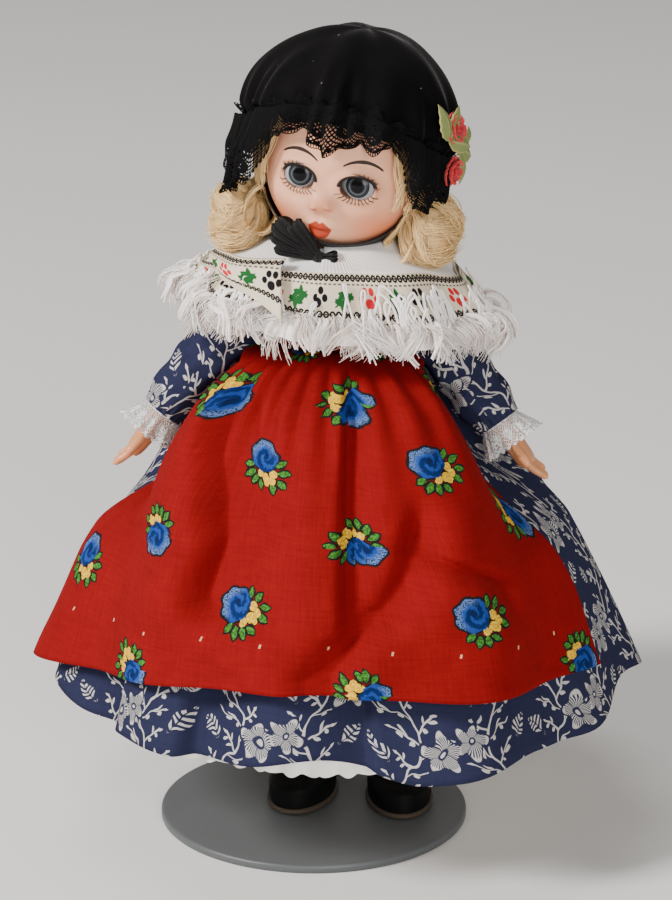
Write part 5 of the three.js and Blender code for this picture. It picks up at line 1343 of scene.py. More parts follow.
def velvet_finish():
    """Black pile: very dark, with a soft light edge and a few specks of lint."""
    pile = {"Sheen_Weight": 0.17, "Sheen_Roughness": 0.3, "Specular_IOR_Level": 0.05}
    f = Finish("black_velvet", colour("velvet"), 1.0, **pile)
    f.shader.inputs["Sheen Tint"].default_value = (0.5, 0.46, 0.47, 1)
    lint = f.noise(750.0, 0.0).step(0.845, 0.87)
    black = f.shade(f.noise(90.0, 3.0), 0.5, 1.6, colour("velvet"))
    f.colour(f.mix(lint * 0.5, black, (0.25, 0.24, 0.24)))
    f.bump(f.noise(2200.0, 2.0), 0.15, 0.5)
    return f.material


def cap_edge(a):
    """Angle from the crown to the velvet's edge."""
    return edge_at(a, 1.19, 1.62, 1.95)


def cap_out(u, a):
    """How far the velvet stands off the head: a smooth puffed crown, fuller over the right ear, that is
    gathered toward its edge and drawn in there."""
    gathers = 0.6 * np.cos(23 * a + 2 * np.sin(5 * a)) + 0.5 * np.cos(13 * a + 1)
    puff = 1.6 * np.sin(np.pi * np.minimum(u * 1.02, 1)) + 2.0 * hump(a, -1.5, 0.5) * ease(u, 0.3, 0.8)
    slack = 0.6 * np.cos(5 * a + 2 * u) * np.sin(np.pi * u) + 0.8 * np.cos(9 * a + 1) * ease(u, 0.25, 0.7)
    return 5.0 + puff + slack + 1.0 * ease(u, 0.5, 0.88) * gathers - 3.6 * ease(u, 0.86, 1.0)


def lace_line(a):
    """Angle of the seam that holds the lace, on the velvet a little above its edge."""
    return edge_at(a, 1.08, 1.56, 1.95) - 0.03


def lace_drop(a):
    """Angle that the lace hangs down: deep over the brow's middle, lifted beside it, with a flap before
    the right ear and a squarer one before the left."""
    brow = 0.23 + 0.16 * hump(a, -0.03, 0.14) - 0.09 * hump(a, -0.38, 0.08) - 0.12 * hump(a, 0.62, 0.12)
    flap = 0.40 * ease(-a, 0.60, 0.86) * (1 - ease(-a, 1.4, 1.65))
    return brow + flap + 0.30 * ease(a, 0.76, 0.88) * (1 - ease(a, 1.36, 1.5))


def cap_lace(u, a):
    """The hanging lace from its seam, u = 0, to its scallops, 1. It lies on the velvet, ruffles toward
    its edge and flares out before the ears."""
    drop = lace_drop(a) + 0.05 * np.abs(np.sin(a * 10.5)) ** 0.7 + 0.02 * np.cos(31 * a)
    down = lace_line(a) + u * drop
    lies = cap_out(np.minimum(down / cap_edge(a), 0.88), a) + 0.6 - 1.6 * ease(u, 0.55, 1)
    ruffle = ease(u, 0.1, 1) * (0.9 * np.cos(23 * a + 2 * np.sin(5 * a)) + 0.5 * np.cos(41 * a + 1))
    flare = 6.5 * u**2 * hump(a, -1.2, 0.36) + 1.5 * u * hump(a, 1.1, 0.3)
    return off_head(aim(down, a), lies + ruffle + flare)


def lace_heading(h, a):
    """The lace's upper edge, which stands up from its seam in small ruffles."""
    ruffle = 0.8 * np.cos(29 * a + 2 * np.sin(5 * a)) + 0.4 * np.cos(47 * a)
    ruffle = ruffle * (1 - ease(np.abs(a), 1.4, 1.8))
    down = lace_line(a) + 0.02 - h * (0.07 + 0.03 * np.cos(17 * a) + 0.02 * np.cos(31 * a))
    return off_head(aim(down, a), cap_out(down / cap_edge(a), a) + 0.5 + h * (1.0 + ruffle))


# Half angle that the lace spans, millimetres in a radian of it, and small loops along its edge
LACE_SPAN, LACE_R, PICOTS = 1.85, 27.0, 230


def build_cap():
    """Velvet cap with its gathered edge and the lace that hangs over the brow and the cheeks."""
    velvet = velvet_finish()
    u, a = lattice(64, 321, (0, -math.pi), (1, math.pi))
    shape = Shape().grid(on_head(off_head(aim(u * cap_edge(a), a), cap_out(u, a))))
    turn = np.linspace(-math.pi, math.pi, 321)
    roll = np.linspace(0, 1, 6)[:, None]
    edge = cap_edge(turn)[None] - 0.012 * np.sin(roll * math.pi / 2)
    rim = cap_out(np.ones((1, 321)), turn[None])
    under = off_head(aim(edge, turn[None] + 0 * roll), rim - 0.9 * roll)
    shape.grid(on_head(under))
    cap = shape.make("cap_velvet", velvet, weld=True)
    mount(cap, "velvet_cap", "head")
    black = lace_finish("black_lace", colour("velvet"), 7.0, 9, 0.23, 0.32)
    u, a = lattice(26, 481, (0, -LACE_SPAN), (1, LACE_SPAN))
    uv = np.stack([a * LACE_R, u ** (1 + 2.5 * ease(np.abs(a), 0.6, 0.85))], -1)
    lace = Shape().grid(on_head(cap_lace(u, a)), uv)
    h, b = lattice(8, 481, (0, -LACE_SPAN), (1, LACE_SPAN))
    lace.grid(on_head(lace_heading(h, b)), np.stack([b * LACE_R, 0.55 * h], -1))
    a = np.linspace(-1.84, 1.84, PICOTS)
    turn = np.linspace(0, TAU, 9)[None]
    tip = cap_lace(1.0 + 0 * a, a)[:, None]
    tangent = unit(np.gradient(tip[:, 0], axis=0))[:, None]
    downward = unit(tip[:, 0] - cap_lace(0.9 + 0 * a, a))[:, None]
    wide = (0.42 + 0.12 * np.cos(7 * np.arange(PICOTS)))[:, None, None]
    loops = tip + wide * ((1 - np.cos(turn))[..., None] * downward + np.sin(turn)[..., None] * tangent)
    lace.grid(on_head(tubes(loops, 0.14, 4)), np.full((9, 5, 2), 0.02), wrap=True)
    piece = lace.make("cap_lace_ruffle", black)
    mount(piece, "cap_lace", "head")


def ribbon_finish():
    """Black ribbed ribbon: fine cords along its length."""
    f = Finish("black_ribbon", colour("velvet", 1.3), 0.55, Specular_IOR_Level=0.35)
    f.colour(f.shade(f.noise(0.8, 2.0, "UV"), 0.6, 1.6, colour("velvet", 1.4)))
    f.bump(f.parts("UV")[1].wave(0.55), 0.12, 0.9)
    return f.material


def ribbon(path, across, width, wave=0.0):
    """A strip along a path: across points from one edge to the other. Its cloth coordinates are
    millimetres."""
    steps = np.linalg.norm(np.diff(path, axis=0), axis=1)
    run = np.concatenate([[0], np.cumsum(steps)])[:, None]
    v = np.linspace(-0.5, 0.5, 13)[None]
    normal = unit(np.cross(np.gradient(path, axis=0), across))
    p = path[:, None] + v[..., None] * width[:, None, None] * across[:, None]
    p = p + (wave * np.cos(v * TAU * 2.5))[..., None] * normal[:, None]
    return p, np.stack([run + 0 * v, v * 6 + 0 * run], -1)


def chin_line(b, out):
    """The tie's middle line: under the chin at b = 0 and up both cheeks."""
    d = unit(np.stack([np.sin(b) * 1.1, -0.62 + 0.5 * np.abs(b), -np.cos(b)], -1))
    return off_head(d, out)


# Angle, reach, width and lift of each loop of the chin bow, and the width of the tie
BOW_LOOPS = (
    (2.52, 14.5, 5.6, 1.0), (2.76, 13.5, 5.0, 0.2), (2.30, 11.5, 4.8, 0.4), (2.98, 11.5, 4.6, 0.2),
    (0.25, 4.5, 3.4, 0.4),
)
TIE_WIDE = 6.2


def build_chin_tie():
    """Ribbon tie that runs from the cap under the chin, and a bow of ribbon loops beside the chin."""
    black = ribbon_finish()
    b = np.linspace(-1.06, 1.06, 70)
    path = chin_line(b, 0.8 + 0 * b)
    along = unit(np.gradient(path, axis=0))
    out = unit(path - HEAD_MIDDLE)
    p, uv = ribbon(path, unit(np.cross(along, out)), np.full(len(b), TIE_WIDE))
    tie = Shape().grid(on_head(p), uv).make("chin_ribbon", black, thick=0.35, side=0.0)
    mount(tie, "chin_tie", "head")
    knot = chin_line(np.array([-0.03]), np.array([2.8]))[0] + np.array([1.4, -2.2, -0.9])
    shape = Shape()
    t = np.linspace(0, 1, 44)
    for angle, reach, wide, lift in BOW_LOOPS:
        way = np.array([math.cos(angle), -0.12, math.sin(angle)])
        up = np.array([-math.sin(angle), 0, math.cos(angle)])
        far = np.sin(np.pi * t) ** 0.75 * reach
        rise = 2.3 * np.sin(TAU * t) * (0.25 + 0.75 * np.sin(np.pi * t))
        path = knot + far[:, None] * way + rise[:, None] * np.array([0, -0.75, 0])
        path = path + (lift * np.sin(np.pi * t))[:, None] * up
        pinch = wide * (0.35 + 0.65 * np.sin(np.pi * t) ** 0.6 - 0.5 * hump(t, 0.5, 0.12))
        across = np.broadcast_to(unit(up + np.array([0, -0.25, 0])), path.shape)
        p, uv = ribbon(path, across, pinch, 0.3)
        shape.grid(on_head(p), uv)
    down, a = lattice(12, 19, (0, 0), (math.pi, TAU))
    shape.grid(on_head(knot + aim(down, a) * np.array([2.0, 1.5, 1.6])), np.stack([a * 2, down * 3], -1))
    bow = shape.make("chin_bow_loops", black, thick=0.3, side=0.0)
    mount(bow, "chin_bow", "head")


def petal_ring(middle, d, radius, petals, cup, start):
    """A ring of rounded petals round a direction: each is a small curved blade."""
    side = unit(np.cross(d, np.array([0.2, 0.3, 1.0])))
    up = np.cross(d, side)
    u, v = lattice(9, 9, (0, -1), (1, 1))
    blades = []
    for k in range(petals):
        b = start + k * TAU / petals
        way = math.cos(b) * side + math.sin(b) * up
        over = -math.sin(b) * side + math.cos(b) * up
        wide = radius * 0.62 * np.sin(np.pi * np.minimum(0.12 + 0.80 * u, 0.97)) ** 0.7
        hollow = 0.22 * radius * (1 - v**2) * np.sin(np.pi * u)
        lift = cup * radius * (u**1.6) - hollow + 0.05 * radius * np.cos(6 * v) * u
        flat = (radius * u)[..., None] * way + (wide * v)[..., None] * over
        blades.append(middle + flat + lift[..., None] * d)
    return np.stack(blades)


CAP_TOP = 6.4
# Piece, node, angle from the crown, angle round the head, distance off the cap and radius of each flower
ROSETTES = (
    ("upper_rosette", "upper_flower", 1.21, 1.34, 1.4, 4.2),
    ("lower_rosette", "lower_flower", 1.59, 1.38, 0.6, 4.0),
)
# Share of the radius, petals, cupping, turn, lift and tint of each ring of petals; the tint darkens the inner
# rings as painted shade
PETALS = (
    (1.0, 6, 0.18, 0.0, 0.0, 0.75), (0.8, 5, 0.5, 0.5, 0.5, 0.95), (0.52, 4, 0.9, 0.2, 0.8, 0.6),
    (0.3, 3, 1.3, 0.9, 1.0, 0.35),
)
# Piece, node, angles, distance off the cap, turn and length of each spray of leaves
LEAVES = (
    ("upper_leaf_cloth", "upper_leaf", 1.30, 1.22, 1.2, 1.2, 10.5),
    ("lower_leaf_cloth", "lower_leaf", 1.42, 1.52, 1.0, 2.6, 9.0),
)


def on_cap(down, a, out):
    """Direction and place of a trimming on the cap."""
    d = aim(np.array(down), np.array(a))
    return d, off_head(d[None], np.array([CAP_TOP + out]))[0]


def build_flowers():
    """Two red cloth flowers and their leaves, sewn to the cap's left side."""
    red = yarn_finish("flower_cloth", (0.30, 0.006, 0.010), (0.72, 0.022, 0.030), 0.75, Sheen_Weight=0.2)
    green = Finish("leaf_cloth", (0.10, 0.20, 0.035), 0.8)
    x, y = green.parts("UV")
    half = abs(y - 0.5)
    ribs = abs((x * 7.0 + half * 5.0).fract() - 0.5).step(0.09, 0.04)
    vein = half.step(0.07, 0.03) | ribs * 0.5
    leaf_ink = green.mix(vein * 0.7, (0.17, 0.21, 0.06), (0.38, 0.37, 0.14))
    green.colour(green.mix(half.step(0.38, 0.46) * 0.8, leaf_ink, (0.42, 0.36, 0.12)))
    for name, node, down, a, out, r in ROSETTES:
        d, middle = on_cap(down, a, out)
        shape = Shape()
        for share, petals, cup, start, lift, tint in PETALS:
            blades = petal_ring(middle + lift * d, d, r * share, petals, cup, start)
            # Each petal darkens toward the flower's heart: painted shade
            fade = tint * (0.45 + 0.55 * lattice(9, 9)[0])
            shape.grid(on_head(blades), tint=np.broadcast_to(fade, (petals, 9, 9)))
        flower = shape.make(name, red, thick=0.22, side=0.0)
        mount(flower, node, "head")
    for name, node, down, a, out, turn, long in LEAVES:
        d, middle = on_cap(down, a, out)
        side = unit(np.cross(d, np.array([0, 0, 1.0])))
        up = np.cross(side, d)
        shape = Shape()
        for b in (turn, turn + 1.0, turn + 2.2):
            way = math.cos(b) * side + math.sin(b) * up
            over = np.cross(d, way)
            u, v = lattice(20, 9, (0, -1), (1, 1))
            wide = long * 0.24 * np.sin(np.pi * u**0.8) * (1 + 0.06 * np.cos(30 * u))
            lift = 1.6 * np.sin(np.pi * u) - 0.9 * np.abs(v) * wide / 2 + 0.5
            p = middle + (long * u)[..., None] * way + (wide * v)[..., None] * over + lift[..., None] * d
            shape.grid(on_head(p), np.stack([u, v * 0.5 + 0.5], -1))
        leaf = shape.make(name, green.material, thick=0.2, side=0.0)
        mount(leaf, node, "head")


def build_dress():
    """Printed cotton dress: a bodice that follows the trunk and a full skirt in a bell."""
    vine = vine_cotton()
    low, high = box_of("dress_bodice")[:, 2]
    z, a = lattice(24, 145, (low, -math.pi), (high, math.pi))
    bodice = round_trunk(a, z, 0.95 + 0.25 * np.cos(30 * a) * (1 - ease(z, low, low + 6)))
    bodice = Shape().grid(bodice, np.stack([a * 16, z], -1)).make("bodice_cotton", vine, weld=True, thick=0.5)
    mount(bodice, "dress_bodice", "doll")
    t, a = lattice(84, 577, (0, -math.pi), (1, math.pi))
    u = t**1.5 * skirt_hem(a)
    p = skirt(a, u, skirt_folds(a, u))
    uv = np.stack([a * size("hem_radius"), fall_length(u)], -1)
    piece = Shape().grid(p, uv).make("skirt_cotton", vine, weld=True, thick=0.6)
    mount(piece, "dress_skirt", "doll")
    flat = (TAU * size("hem_radius") * MM, size("skirt_length") * MM)


def sleeve_ring(side, t, a):
    """The sleeve's rings: they start upright at the bodice, turn along the arm, swell over the shoulder
    and close in at the wrist. Soft wrinkles run round it."""
    along = arm_frame(1)[0]
    full = lerp(8.7, 7.6, ease(t, 0, 0.6)) + 2.3 * hump(t, 0.13, 0.1)
    r = lerp(full, 5.8, ease(t, 0.84, 1))
    wrinkle = 0.034 * np.cos(5 * a + 7 * t) + 0.050 * np.cos(2 * a - 26 * t) + 0.026 * np.cos(9 * a + 13 * t)
    gathers = 0.05 * np.cos(20 * a) * ease(t, 0.86, 0.98)
    r = r * (1 + np.sin(np.pi * t) * wrinkle + gathers)
    turn = ease(t, 0, 0.3)
    middle = along * (SLEEVE_END * t)[..., None]
    middle[..., 0] = np.maximum(middle[..., 0], lerp(SLEEVE_START, middle[..., 0], turn))
    normal = unit(lerp(np.array([1.0, 0, 0]), along, turn[..., None]))
    wide = unit(np.array([0, -1.0, 0]) + normal * normal[..., 1:2])
    thick = np.cross(normal, wide)
    p = middle + (r * np.cos(a))[..., None] * wide + (r * np.sin(a))[..., None] * thick
    shoulder = joint_at("left_shoulder" if side > 0 else "right_shoulder")
    return p * np.array([side, 1, 1]) + shoulder


def build_sleeves():
    """Two sleeves and the gathered lace at each wrist."""
    vine = bpy.data.materials["dress_cotton"]
    lace = lace_finish("white_lace", colour("cotton", 0.95), 4.6, 7)
    t, a = lattice(60, 97, (0, 0), (1, TAU))
    for word, side in SIDES:
        body = f"{word}_arm"
        p = sleeve_ring(side, t, a)
        uv = np.stack([a * 8 + side * 3, t * SLEEVE_END + 40], -1)
        sleeve = Shape().grid(p, uv).make(f"{word}_sleeve_cotton", vine, weld=True, thick=0.55)
        mount(sleeve, f"{word}_sleeve", body)
        u, b = lattice(14, 241, (0, 0), (1, TAU))
        ruffle = u * (0.75 * np.cos(13 * b) + 0.35 * np.cos(21 * b + 1))
        r = 5.25 + 3.0 * u + ruffle
        long = 6.6 * u + 0.8 * u * np.abs(np.cos(13 * b))
        p = arm_point(side, SLEEVE_END - 0.3 + long, r * np.cos(b), r * np.sin(b))
        cuff = Shape().grid(p, np.stack([b * 9.5, u], -1)).make(f"{word}_cuff_ruffle", lace)
        mount(cuff, f"{word}_cuff_lace", body)


def build_petticoat():
    """White cotton petticoat and the lace round its hem."""
    white = plain_cotton("petticoat_cotton", colour("cotton", 0.97))
    u, a = lattice(30, 265, (0, -math.pi), (1, math.pi))
    cloth = Shape().grid(slip(a, u, 0.0), np.stack([a * SLIP_R, u * SLIP_LENGTH], -1))
    cloth = cloth.make("slip_cotton", white, weld=True, thick=0.5)
    mount(cloth, "petticoat", "doll")
    u, a = lattice(10, 721, (0, -math.pi), (1, math.pi))
    p = slip(a, 1.0 + 0 * u, 0.15)
    wave = 0.9 * u * np.cos(60 * a)
    move_off(p, a, wave, u * (6.4 + 0.8 * np.abs(np.sin(47 * a))) - 0.4)
    lace = Shape().grid(p, np.stack([a * SLIP_R, u], -1)).make("slip_lace", bpy.data.materials["white_lace"])
    mount(lace, "petticoat_lace", "doll")


# Share of the fall below which the apron's corners hang lower
CORNER_FALL = 0.544


def apron_stand(a, u):
    """How far the apron stands off the skirt: most beside its valleys, less at the sides, by the
    sleeves and at the hem, more at the right corner. Gathers run down from the waistband."""
    side = np.abs(a)
    sleeve = ease(side, 0.75, 1.05) * (1 - ease(u, 0.4, 0.6))
    stand = 5.5 * ease(u, 0, 0.12) * (1 - 0.55 * ease(u, 0.6, 0.8))
    stand = stand * (1 - 0.5 * ease(side, 0.6, 0.95)) * (1 - 0.75 * sleeve)
    ridge = valley(a + 0.14, u, RIGHT_VALLEY, 3.0, 0.16, 0.09)
    ridge = ridge + valley(a - 0.16, u, LEFT_VALLEY, 1.6, 0.10, 0.14)
    cut = valley(a, u, RIGHT_VALLEY, 8.5, 0.07, 0.22) + valley(a, u, MIDDLE_VALLEY, 5.4, 0.03, 0.11)
    cut = cut + valley(a, u, LEFT_VALLEY, 5.0, 0.08, 0.07) + valley(a, u, SMALL_VALLEY, 2.6, 0.08, 0.05)
    ridge = ridge + 3.0 * hump(a, 0.66, 0.2) * ease(u, 0.45, 0.62)
    level = stand + ridge - cut
    level = 0.5 * (level + np.sqrt(level**2 + 0.15))
    gathers = np.cos(33 * a + 2.2 * np.sin(3 * a + 1)) * ease(u, 0, 0.03) * np.exp(-((u / 0.2) ** 2))
    flare = 3.5 * hump(a, -1.27, 0.2) * ease(u, 0.6, 0.9)
    return level + (1.5 * gathers + 0.9) * (1 - 0.8 * sleeve) + 0.2 + flare


def apron_point(t, s):
    """The apron from the waistband, t = 0, to its hem, 1, and from its right edge, s = 0, to its left,
    1. Its corners hang lower than its middle."""
    middle = size("apron_length") / size("skirt_length")
    down = middle * t**1.3
    right = -lerp(1.24, 1.27 + 0.2 * (middle - down), ease(down, 0.25, 0.5))
    left = lerp(1.24, 1.13, ease(down, 0.3, 0.46))
    a = lerp(right, left, s)
    below = np.clip((down - CORNER_FALL) / (middle - CORNER_FALL), 0, 1)
    u = down + below * np.where(a > 0, 3.5, 8.0) * (a / 1.19) ** 2 / size("skirt_length")
    lift = 0.72 + 1.25 * np.sqrt(u) + apron_stand(a, u)
    return skirt(a, u, lift), np.stack([a * APRON_R, fall_length(u)], -1)


def build_apron():
    """Red apron gathered on a waistband that ties in a bow behind."""
    roses = rose_cotton()
    t, s = lattice(96, 340)
    apron = Shape().grid(*apron_point(t, s)).make("apron_cotton_sheet", roses, thick=0.5)
    mount(apron, "apron", "doll")
    red = plain_cotton("band_cotton", colour("apron"), 0.13)
    low, high = box_of("apron_waistband")[:, 2]
    z, a = lattice(8, 129, (low, -math.pi), (high, math.pi))
    swell = 0.3 * np.sin(np.pi * (z - low) / (high - low))
    band = Shape().grid(round_trunk(a, z, 2.4 + swell), np.stack([a * 18, z], -1))
    band = band.make("waistband_cotton", red, weld=True, thick=0.8)
    mount(band, "apron_waistband", "doll")
    knot = np.array([axis_x(WAIST_Z), trunk_half(WAIST_Z)[1] + 4.6, box_of("apron_bow")[1, 2] - 3.6])
    shape = Shape()
    t = np.linspace(0, 1, 50)
    for side in (-1, 1):
        far = 13.0 * np.sin(np.pi * t) ** 0.8
        rise = 3.2 * np.sin(TAU * t)
        path = knot + np.stack([side * far, 1.3 * np.sin(np.pi * t), rise + 0.1 * far], -1)
        wide = 6.0 * (0.35 + 0.65 * np.sin(np.pi * t) ** 0.7)
        across = np.broadcast_to(unit(np.array([0.0, 0.6, 0.8])), path.shape)
        p, uv = ribbon(path, across, wide, 0.25)
        shape.grid(p, uv)
        u = np.linspace(0.012, 34 / size("skirt_length"), 50)
        path = skirt(math.pi - side * (0.10 + 0.16 * t), u, 2.4 + 0.8 * np.sin(9 * t))
        path[0] = knot
        across = np.broadcast_to(np.array([1.0, 0, 0]), path.shape)
        p, uv = ribbon(path, across, lerp(2.4, 5.8, t), 0.25)
        shape.grid(p, uv)
    down, a = lattice(14, 25, (0, 0), (math.pi, TAU))
    shape.grid(knot + aim(down, a) * np.array([2.6, 1.7, 2.6]), np.stack([a * 3, down * 3], -1))
    bow = shape.make("apron_bow_ribbon", red, thick=0.4, side=0.0)
    mount(bow, "apron_bow", "doll")
    flat = (183 * MM, size("apron_length") * MM)


# The braid's repeat in millimetres, and place and turn of the leaves in a sprig
BRAID_PITCH = 27.0
SPRIG_LEAVES = ((5.6, 0.6, 0.5), (6.6, -0.9, 0.2), (7.6, 0.5, -0.5), (6.4, 1.3, 1.4), (8.3, -0.6, 0.1))


def braid_finish():
    """Woven braid on a cream ground: a dark chain along each edge, a fine dashed line, and five-dot
    flowers in red and black by turns with green leaf sprigs. Cloth x runs along the braid and y from
    its upper edge."""
    cream = colour("braid")
    pack = cotton("braid_weave", cream, 1.6, 0.12)
    f, x, y = pack[:3]
    black, red, green = (0.012, 0.010, 0.012), (0.55, 0.016, 0.028), (0.016, 0.10, 0.026)
    width = size("braid_width")
    ink = cream
    for place in (0.9, width - 1.0):
        px = ((x / 1.5).fract() - 0.5) * 1.5
        ring = abs(disc(px, y, 0.0, place, 0.66, 0.62) - 0.8).step(0.42, 0.25)
        ink = f.mix(ring | (abs(y - place).step(0.25, 0.15) * 0.9), ink, black)
    dash = abs(y - 2.1).step(0.22, 0.12) * abs((x / 1.3).fract() - 0.5).step(0.34, 0.28)
    ink = f.mix(dash * 0.85, ink, black)
    for start, petal in ((0.0, red), (BRAID_PITCH / 2, black)):
        px = (((x + start) / BRAID_PITCH).fract() - 0.5) * BRAID_PITCH
        py = y - width * 0.56
        marks = spot(px, py, 0.0, 0.7, 1.15, 1.0)
        for cx, cy in ((-1.9, -0.2), (-0.85, -1.6), (0.85, -1.6), (1.9, -0.2)):
            marks = marks | spot(px, py, cx, cy, 0.72, 0.78)
        ink = f.mix(marks, ink, petal)
        sprig = stroke(px, py, (4.6, 1.4), (8.4, -0.6), 0.18)
        sprig = sprig | stroke(px, py, (-4.4, -1.2), (-8.0, 0.8), 0.18)
        for cx, cy, turn in SPRIG_LEAVES:
            sprig = sprig | leaf_spot(px, py, cx, cy, 1.35, 0.62, turn)
            sprig = sprig | leaf_spot(px, py, 0.4 - cx, -cy, 1.3, 0.6, turn)
        ink = f.mix(sprig, ink, green)
    return finish_cotton(pack, ink, 0.09)


def build_shawl():
    """A white shawl in two halves with braid along its edge and a folded end on the doll's right."""
    white = Finish("shawl_rib", colour("cotton"), 0.9, Sheen_Weight=0.1, Specular_IOR_Level=0.2)
    ribs = white.parts("UV")[0].wave(0.9)
    # The ribs' grooves are darker than their crowns: painted shade
    white.colour(white.shade(ribs, 0.94, 1.03, colour("cotton")))
    white.bump(ribs, 0.1, 0.6)
    braid = braid_finish()
    seam = -0.02
    for word, side in SIDES:
        t, v = lattice(34, 150, (0, seam), (2, math.pi - seam))
        a = side * v
        cone = shawl(a, t, 0.9 + 0.06 * side)
        half = Shape().grid(cone, np.stack([a * 30, t * 12], -1))
        half = half.make(f"{word}_shawl_cloth", white.material, thick=0.7)
        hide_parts(f"{word}_shawl")
        t, v = lattice(14, 200, (0, seam), (1, math.pi - seam))
        a = side * v
        rise = 0.25 * np.cos(7 * a + 1) * (1 - t)
        strip = shawl(a, 1 + t, 1.75 + 0.06 * side) + np.stack([0 * a, 0 * a, rise], -1)
        run = np.cumsum(np.linalg.norm(np.diff(strip[7], axis=0, prepend=strip[7][:1]), axis=1)) * side
        trim = Shape().grid(strip, np.stack([run[None] + 0 * t, t * size("braid_width")], -1))
        trim = trim.make(f"{word}_braid_trim", braid, thick=0.4)
        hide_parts(f"{word}_braid")
        bend_with_arm(half, side)
        bend_with_arm(trim, side)
    u, v = lattice(30, 40)
    a = lerp(lerp(-1.5, -0.80, u), lerp(-0.32, -0.20, u), v)
    t = lerp(lerp(0.72, 1.35, u), lerp(0.70, 2.25, u), v)
    lift = 3.0 + 0.5 * np.cos(5 * v + 2 * u) * u + 1.6 * v**4 + 1.0 * ease(u, 0.6, 1)
    p = shawl(a, t, lift)
    tip = Shape().grid(p, np.stack([v * 27 + u * 3 + 1, u * 11.5 - 0.4], -1))
    tip = tip.make("shawl_folded_end", braid, thick=0.5)
    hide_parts("shawl_end")
    bend_with_arm(tip, -1)


# Distances from the neck, in metres, where the shawl would start to follow the arm and follow it fully;
# nothing bends it
BEND_FROM, BEND_TO = 0.014, 0.052


def bend_with_arm(piece, side):
    """Works out the span where a piece of the shawl meets the arm, which nothing uses, and bakes the piece's
    place into its mesh."""
    z = SHAWL_Z * MM
    x = axis_x(SHAWL_Z) * MM
    start, end = (x + side * BEND_FROM, 0, z), (x + side * BEND_TO, 0, z)
    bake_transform(piece)


# Tufts and loops in each half of the fringe
TUFTS, FRINGE_LOOPS = 44, 60
# Strands of the fringe: share of the yarns' number, points, radius, wander and sides
STRANDS = ((1, 12, 0.46, 0.8, 5), (4, 10, 0.14, 1.9, 3))


def fringe_paths(rng, side, n, steps, wander):
    """Strands that leave the shawl's lower edge in tufts. Each tuft leans its own way, and its strands
    wander off it and curl."""
    pick = rng.integers(0, TUFTS, n)
    lean, more, start, stretch = (rng.normal(0, w, TUFTS)[pick] for w in (0.13, 1.2, 0.10, 0.16))
    middle = np.linspace(0.03, math.pi - 0.03, TUFTS)[pick] + rng.normal(0, 0.016 * wander, n)
    high = np.where((side < 0) & (np.abs(middle - 1.25) < 0.4), rng.uniform(0, 0.8, TUFTS)[pick], 0.0)
    layer = np.clip(rng.uniform(0, 1, TUFTS)[pick] + rng.normal(0, 0.13 * wander, n), 0, 1)
    long = size("fringe_length") * (0.95 + stretch + rng.normal(0, 0.08, n)) * (1 - 0.45 * high)
    s = np.linspace(0, 1, steps)[None]
    own = rng.normal(0, 0.3 * wander, (3, n, 1))
    one, two, three = (rng.uniform(0, TAU, TUFTS)[pick][:, None] + shift for shift in own)
    speed = rng.uniform(3.5, 7.5, TUFTS)[pick][:, None]
    drift = (lean + rng.normal(0, 0.025 * wander, n))[:, None] * s**1.4
    a = side * np.clip(middle[:, None] + drift, 0.0, math.pi)
    t = 2.0 + np.minimum(start, 0.05)[:, None] - high[:, None] * 0.75 + 0 * s
    p = shawl(a, t, 0.5 + 2.4 * layer[:, None] + 0 * s)
    out = (2.4 + 2.6 * layer + more + 3.0 * high + rng.normal(0, 0.3 * wander, n))[:, None]
    curl = 1.7 * np.sqrt(s)
    reach = out * np.sin(s * math.pi / 2) ** 0.8 + 0.55 * curl * np.sin(s * speed + one)
    fall = long[:, None] * s**1.2 - 0.9 * np.sin(s * math.pi) * layer[:, None]
    fall = fall + 0.5 * curl * np.sin(s * speed + three)
    swing = 0.85 * curl * np.sin(s * speed * 0.8 + two)
    p[..., 0] += reach * np.sin(a) + swing * np.cos(a)
    p[..., 1] += -reach * np.cos(a) + swing * np.sin(a)
    p[..., 2] -= fall
    warm = (0.5 + 0.5 * np.sin(pick * 2.4)) ** 3
    return p, np.clip(0.95 - 0.5 * warm - 0.25 * rng.uniform(0, 1, n), 0, 1)


